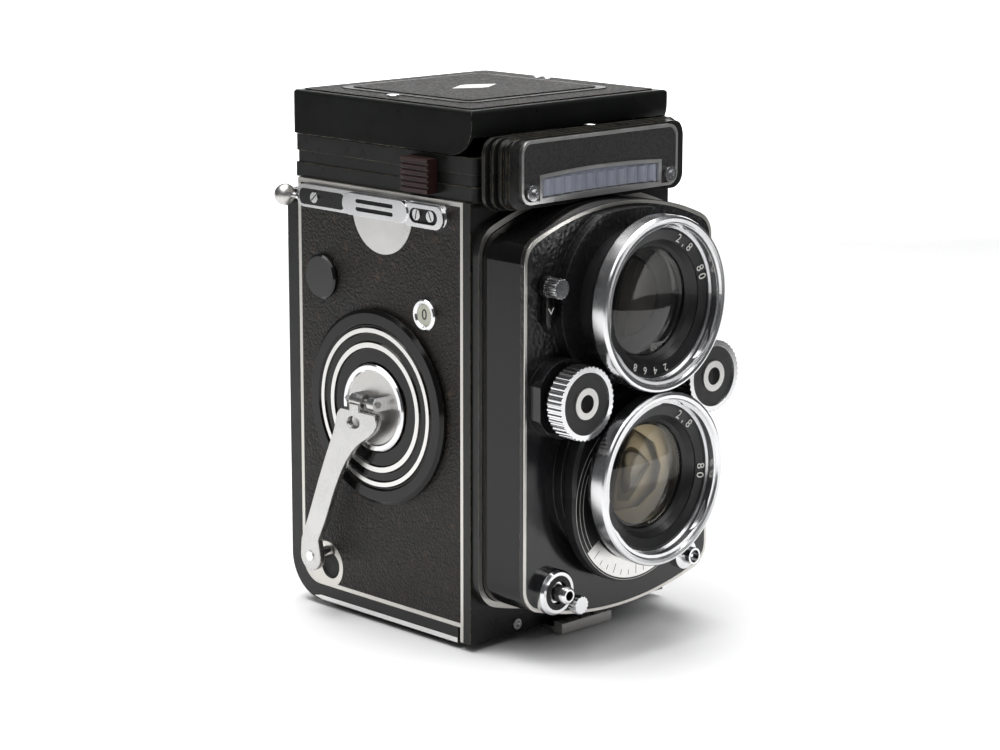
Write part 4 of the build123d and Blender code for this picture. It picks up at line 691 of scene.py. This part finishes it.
# ---------------------------------------------------------------- meter
def meter():
    """Crinkle field inside the bright frame, and a dark line round each screw's bush."""
    front = node_span("meter_faceplate")[0].y
    paint_faces("meter_faceplate", "crinkle", lambda c, n: n.y < -0.9 and near(c.y, front + 0.5, 0.14))
    screws = [box for box in islands("body_screws") if front - 2.5 < box[0].y < front - 0.2]
    for i, (low, high) in enumerate(screws):
        x, z = (low.x + high.x) / 2, (low.z + high.z) / 2
        ring = [(1.22, 0.0), (1.22, 0.02), (1.5, 0.02), (1.5, 0.0)]
        lathe(f"meter_bush_ring_{i}", ring, (x * MM, (low.y + 0.03) * MM, z * MM), "-y", "dark", "camera", 32)


meter()


# ---------------------------------------------------------------- crank side
def arm_piece():
    """Winding arm: wide shoulders under the hinge, a window behind its barrel and a bowed taper to the handle."""
    low, high = node_span("crank_arm")
    pivot = Vector(JOINTS["crank_fold"]["pos_m"]) / MM
    handle_low, handle_high = node_span("crank_handle")
    tip = (handle_low + handle_high) / 2
    y, z, r = pivot.y, pivot.z, high.y - tip.y
    face = low.x + 2.0
    rear = curve_through([(y + 5.6, z - 2.3), (y + 7.2, z - 4.2), (y + 8.6, z - 9.0), (y + 12.2, z - 17.0),
                          (y + 15.8, z - 25.5), (y + 19.6, z - 35.0), (tip.y + r - 0.4, tip.z + 4.5)])
    end = [(tip.y + r * cos(radians(a)), tip.z + r * sin(radians(a))) for a in range(10, -200, -15)]
    front = curve_through([(tip.y - r + 1.0, tip.z + 5.0), (y + 12.4, z - 35.0), (y + 8.6, z - 26.0), (y + 4.2, z - 18.0),
                           (y - 0.6, z - 12.4), (y - 6.2, z - 8.6), (y - 8.8, z - 5.4), (y - 8.6, z - 2.3)])
    neck = [(y - 2.1, z - 2.3), (y - 2.1, z - 0.4), (y + 2.1, z - 0.4), (y + 2.1, z - 2.3)]
    window = [(y + 0.4 + 2.5 * cos(radians(a)), z - 5.6 + 1.5 * sin(radians(a)) - 0.12 * a / 360) for a in range(0, 360, 15)]
    made = cut_plate("winding_arm", rear + end + front + neck, [window], low.x, face, 0.3, "brushed", "folding_arm")
    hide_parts("crank_arm")
    barrel = [(0.95, -2.1), (1.9, -2.1), (1.9, 2.1), (0.95, 2.1), (0.95, -2.1)]
    knuckle = lathe("winding_arm_barrel", barrel, pivot * MM, "y", "brushed", "folding_arm", 40)
    lug = [(0, 0), (0, 0.25), (0.9, 0.25), (0.9, 0)]
    for sign, axis in ((1, "y"), (-1, "-y")):
        centre = Vector((pivot.x, pivot.y + sign * 4.9, pivot.z)) * MM
        end = "y" if sign > 0 else "front_y"
        lathe(f"hinge_pin_head_{end}", lug, centre, axis, "chrome", "crank", 32)


def bright_edges():
    """Bright rim along the foot of the door's flanges, and the line in front of them."""
    door_low, door_high = node_span("back_door")
    plate_low = node_span("side_plate_left")[0]
    for side, x in (("left", door_low.x), ("right", door_high.x)):
        sign = -1 if side == "left" else 1
        strip = [(door_low.y + 0.15, door_low.z + 0.12), (door_high.y - 13.0, door_low.z + 0.12),
                 (door_high.y - 9.5, door_low.z + 0.7), (door_high.y - 12.5, door_low.z + 1.35),
                 (door_low.y + 0.15, door_low.z + 1.5)]
        made = plate(f"door_rim_{side}", strip, "x", x - sign * 0.002, sign * 0.03, "rim", "door")
        inner = x - sign * 0.97
        made = slab(f"front_line_{side}", (min(x, inner), plate_low.y, door_low.z + 0.5),
                    (max(x, inner), plate_low.y + 1.2, plate_low.z + 0.05), "trim", "camera")


def crank_side():
    """Bright rings on the crank disc, satin hub, counter dial and the winding arm."""
    axis = Vector(JOINTS["crank_turn"]["pos_m"]) / MM
    face = node_span("crank_disc")[0].x
    radius = radius_round(axis, 1, 2)
    paint_faces("crank_disc", "frame",
                lambda c, n: n.x < -0.9 and near(c.x, face, 0.05) and 16.5 < radius(c) < 22.1)
    paint_faces("crank_hub", "satin", lambda c, n: n.x < -0.9 and radius(c) < 10.4)
    low, high = node_span("counter_bezel")
    x, y, z = low.x + 0.55, (low.y + high.y) / 2, (low.z + high.z) / 2
    dial = [(0, -0.05), (0, 0.0), (2.85, 0.0), (2.85, -0.05)]
    lathe("counter_dial", dial, (x * MM, y * MM, z * MM), "-x", "ivory", "camera", 48)
    text("counter_numeral", "0", 4.2, Vector((x - 0.06, y, z)) * MM, (-1, 0, 0), "dark", "camera", depth=0.03)
    arm_piece()
    # Painted shade: the left side plate's faces set in from its outer face, low at the rear, are painted black.
    paint_faces("side_plate_left", "dark", lambda c, n: n.x < -0.9 and c.z < 20 and -37.9 < c.x < -37.3 and c.y > 12)


crank_side()
bright_edges()


def screw_slots():
    """Slots across the round screws of both strap rails and of the front, drawn as thin black sheets of painted shade.
    """
    for i, (a, b) in enumerate(islands("body_screws")):
        size = b - a
        if abs(a.x + b.x) / 2 > 38 and near(size.y, size.z, 0.3):
            x = a.x if a.x < 0 else b.x
            y, z = (a.y + b.y) / 2, (a.z + b.z) / 2
            half = size.y / 2 - 0.15
            # Painted shade: a thin black sheet stands for the slot.
            slab(f"screw_slot_{i}", (x - 0.02, y - half, z - 0.17), (x + 0.02, y + half, z + 0.17), "dark", "camera",
                 0, radians(65 + 37 * i), "X")


screw_slots()


def rail_inlays():
    """Dark panels sunk in the strap rails, and the two slots of each sprung leaf, drawn as black strips of painted
    shade.
    """
    rail = islands("strap_rails")
    paint_faces("strap_rails", "satin", lambda c, n: c.y > 31.2)
    for side, (a, b) in zip(("left", "right"), rail):
        sign = -1 if side == "left" else 1
        outer = sign * (min(abs(a.x), abs(b.x)) + 1.38)
        mid_z = (a.z + b.z) / 2
        for part, y0, y1 in (("rear", 9.8, 28.6), ("front", -29.6, -17.2)):
            outline = rounded((y0 + y1) / 2, mid_z, (y1 - y0) / 2, 2.25, 1.6)
            made = plate(f"rail_inlay_{side}_{part}", outline, "x", outer, sign * 0.03, "paint", "camera")
        for part, lift in (("upper", 1.1), ("lower", -1.1)):
            outline = rounded(-4.0, mid_z + lift, 7.4, 0.5, 0.49)
            # Painted shade: a flat black strip stands for each slot.
            plate(f"rail_slot_{side}_{part}", outline, "x", outer + sign * 0.9, sign * 0.03, "dark", "camera")


rail_inlays()


# ---------------------------------------------------------------- lid
def lid_details():
    """Chrome stud, two small screws and a plain lozenge plate on the lid."""
    top = CAD_BOX[1].z / MM
    skin = node_span("lid_leather")
    level = top - 0.5
    stud = [(0, 0.48), (1.5, 0.46), (1.75, 0.3), (1.8, 0.0), (0, 0.0)]
    lathe("lid_stud", stud, ((skin[0].x + 5.2) * MM, 0.5 * MM, level * MM), "z", "chrome", "lid", 40)
    for i, y in enumerate((3.5, 7.5)):
        small = [(0, 0.3), (0.9, 0.28), (1.05, 0.15), (1.1, 0.0), (0, 0.0)]
        made = lathe(f"lid_screw_{i}", small, ((skin[1].x - 3.0) * MM, y * MM, level * MM), "z", "chrome", "lid", 32)
    lozenge = [(-8.5, 0), (-1.2, 4.3), (1.2, 4.3), (8.5, 0), (1.2, -4.3), (-1.2, -4.3)]
    plate("lid_lozenge", lozenge, "z", top - 0.05, 0.062, "satin", "lid")
    rim = [(a * 0.82, b * 0.78) for a, b in lozenge]
    plate("lid_lozenge_field", rim, "z", top, 0.016, "satin", "lid")


lid_details()


# ---------------------------------------------------------------- focusing side
def knob_scale():
    """Distance numerals and ticks on the focusing knob, and rings on the spool knobs."""
    axis = Vector(JOINTS["focus_knob_turn"]["pos_m"]) / MM
    dish = node_span("focus_knob")[1].x - 0.6
    body = JOINTS["focus_knob_turn"]["child"]
    paint_faces("focus_knob", "face", lambda c, n: n.x > 0.9 and near(c.x, dish, 0.1))
    for i, words in enumerate(("1", "1.2", "1.5", "2", "2.5", "3", "5", "10")):
        angle = radians(80 - 36 * i)
        place = Vector((dish + 0.03, axis.y + 11.2 * cos(angle), axis.z + 11.2 * sin(angle))) * MM
        text(f"distance_numeral_{i}", words, 2.4, place, (1, 0, 0), "white", body, spin=angle - pi / 2, depth=0.03)
        tick = Vector((dish + 0.03, axis.y + 13.8 * cos(angle), axis.z + 13.8 * sin(angle)))
        slab(f"distance_tick_{i}", tick - Vector((0.03, 0.7, 0.1)), tick + Vector((0.03, 0.7, 0.1)), "white", body, 0,
             angle, "X")
    for node in ("supply_knob", "take_up_knob"):
        edge = node_span(node)[1].x - 0.6
        paint_faces(node, "leather", lambda c, n: n.x > 0.9 and near(c.x, edge, 0.1))


knob_scale()


# ---------------------------------------------------------------- floor, light, camera
def stage():
    """Strip of pale paper under and behind the object, curving up at the back."""
    material, tree, principled = shader("studio_paper", (0.92, 0.92, 0.92), 0, 0.8)
    tree.links.new(ramp(tree, noise(tree, 8, 3), [(0.3, 0.90), (0.7, 0.94)]), principled.inputs["Base Color"])
    M["floor"] = material
    bm = bmesh.new()
    left, right, front, flat, curve, rise, spread = -0.85, 0.42, -0.55, 1.75, 0.3, 0.9, 0.55
    rows = [(front, 0.0), (0.35, 0.0), (flat, 0.0)]
    rows += [(flat + curve * sin(radians(a)), curve - curve * cos(radians(a))) for a in range(6, 91, 6)]
    rows.append((flat + curve, rise))
    turn = Matrix.Rotation(radians(CAMERA_AZIMUTH), 3, "Z")
    lines = []
    for x in (left, right):
        widen = [spread * max(0.0, y - 0.35) * (1 if x > 0 else -0.3) for y, z in rows]
        lines.append([bm.verts.new(turn @ Vector((x + w, y, z))) for w, (y, z) in zip(widen, rows)])
    for i in range(len(rows) - 1):
        bm.faces.new((lines[0][i], lines[1][i], lines[1][i + 1], lines[0][i + 1]))
    piece("studio_floor", bm, "floor", None)


def lamp(name, place, aim, size, power, colour=(1, 1, 1)):
    data = bpy.data.lights.new(name, "AREA")
    data.shape = "RECTANGLE"
    data.size, data.size_y = size
    data.energy = power
    data.color = colour
    made = bpy.data.objects.new(name, data)
    made.location = place
    made.rotation_euler = (Vector(aim) - Vector(place)).to_track_quat("-Z", "Y").to_euler()
    bpy.context.scene.collection.objects.link(made)


def around(azimuth, elevation, distance, height=0.07):
    """Point seen from the object at an azimuth (0 in front, 90 on the crank side) and elevation."""
    a, e = radians(azimuth), radians(elevation)
    return (-distance * cos(e) * sin(a), -distance * cos(e) * cos(a), height + distance * sin(e))


def lights():
    world = bpy.data.worlds.new("studio")
    bpy.context.scene.world = world
    world.use_nodes = True
    background = world.node_tree.nodes["Background"]
    background.inputs["Color"].default_value = (0.95, 0.97, 1.0, 1)
    background.inputs["Strength"].default_value = 0.10
    middle = (0, 0, 0.07)
    lamp("top", (0.05, 0.1, 1.0), middle, (0.8, 0.8), 12)
    lamp("key", around(70, 52, 1.0), middle, (0.6, 0.6), 2.0)
    lamp("front_fill", around(-20, 40, 1.0), middle, (0.6, 0.6), 3.0)
    lamp("backdrop", around(229, 42, 1.3, 0.0), around(226, 12, 2.1, 0.0), (1.8, 1.0), 46)
    lamp("floor_wash", (-0.35, 0.30, 0.8), (-0.5, 0.45, 0.0), (0.5, 0.5), 2.5)


def camera():
    data = bpy.data.cameras.new("camera")
    data.lens = CAMERA_LENS
    data.sensor_width = 36
    data.shift_x, data.shift_y = CAMERA_SHIFT
    data.clip_start = 0.01
    made = bpy.data.objects.new("camera", data)
    turn = (Matrix.Rotation(radians(CAMERA_AZIMUTH), 3, "Z") @ Matrix.Rotation(radians(90 - CAMERA_ELEVATION), 3, "X")
            @ Matrix.Rotation(radians(CAMERA_ROLL), 3, "Z"))
    made.matrix_world = Matrix.Translation(Vector(CAMERA_AIM) + turn @ Vector((0, 0, CAMERA_DISTANCE))) @ turn.to_4x4()
    bpy.context.scene.collection.objects.link(made)
    bpy.context.scene.camera = made


stage()
lights()
camera()
bpy.context.scene.view_settings.view_transform = "Standard"
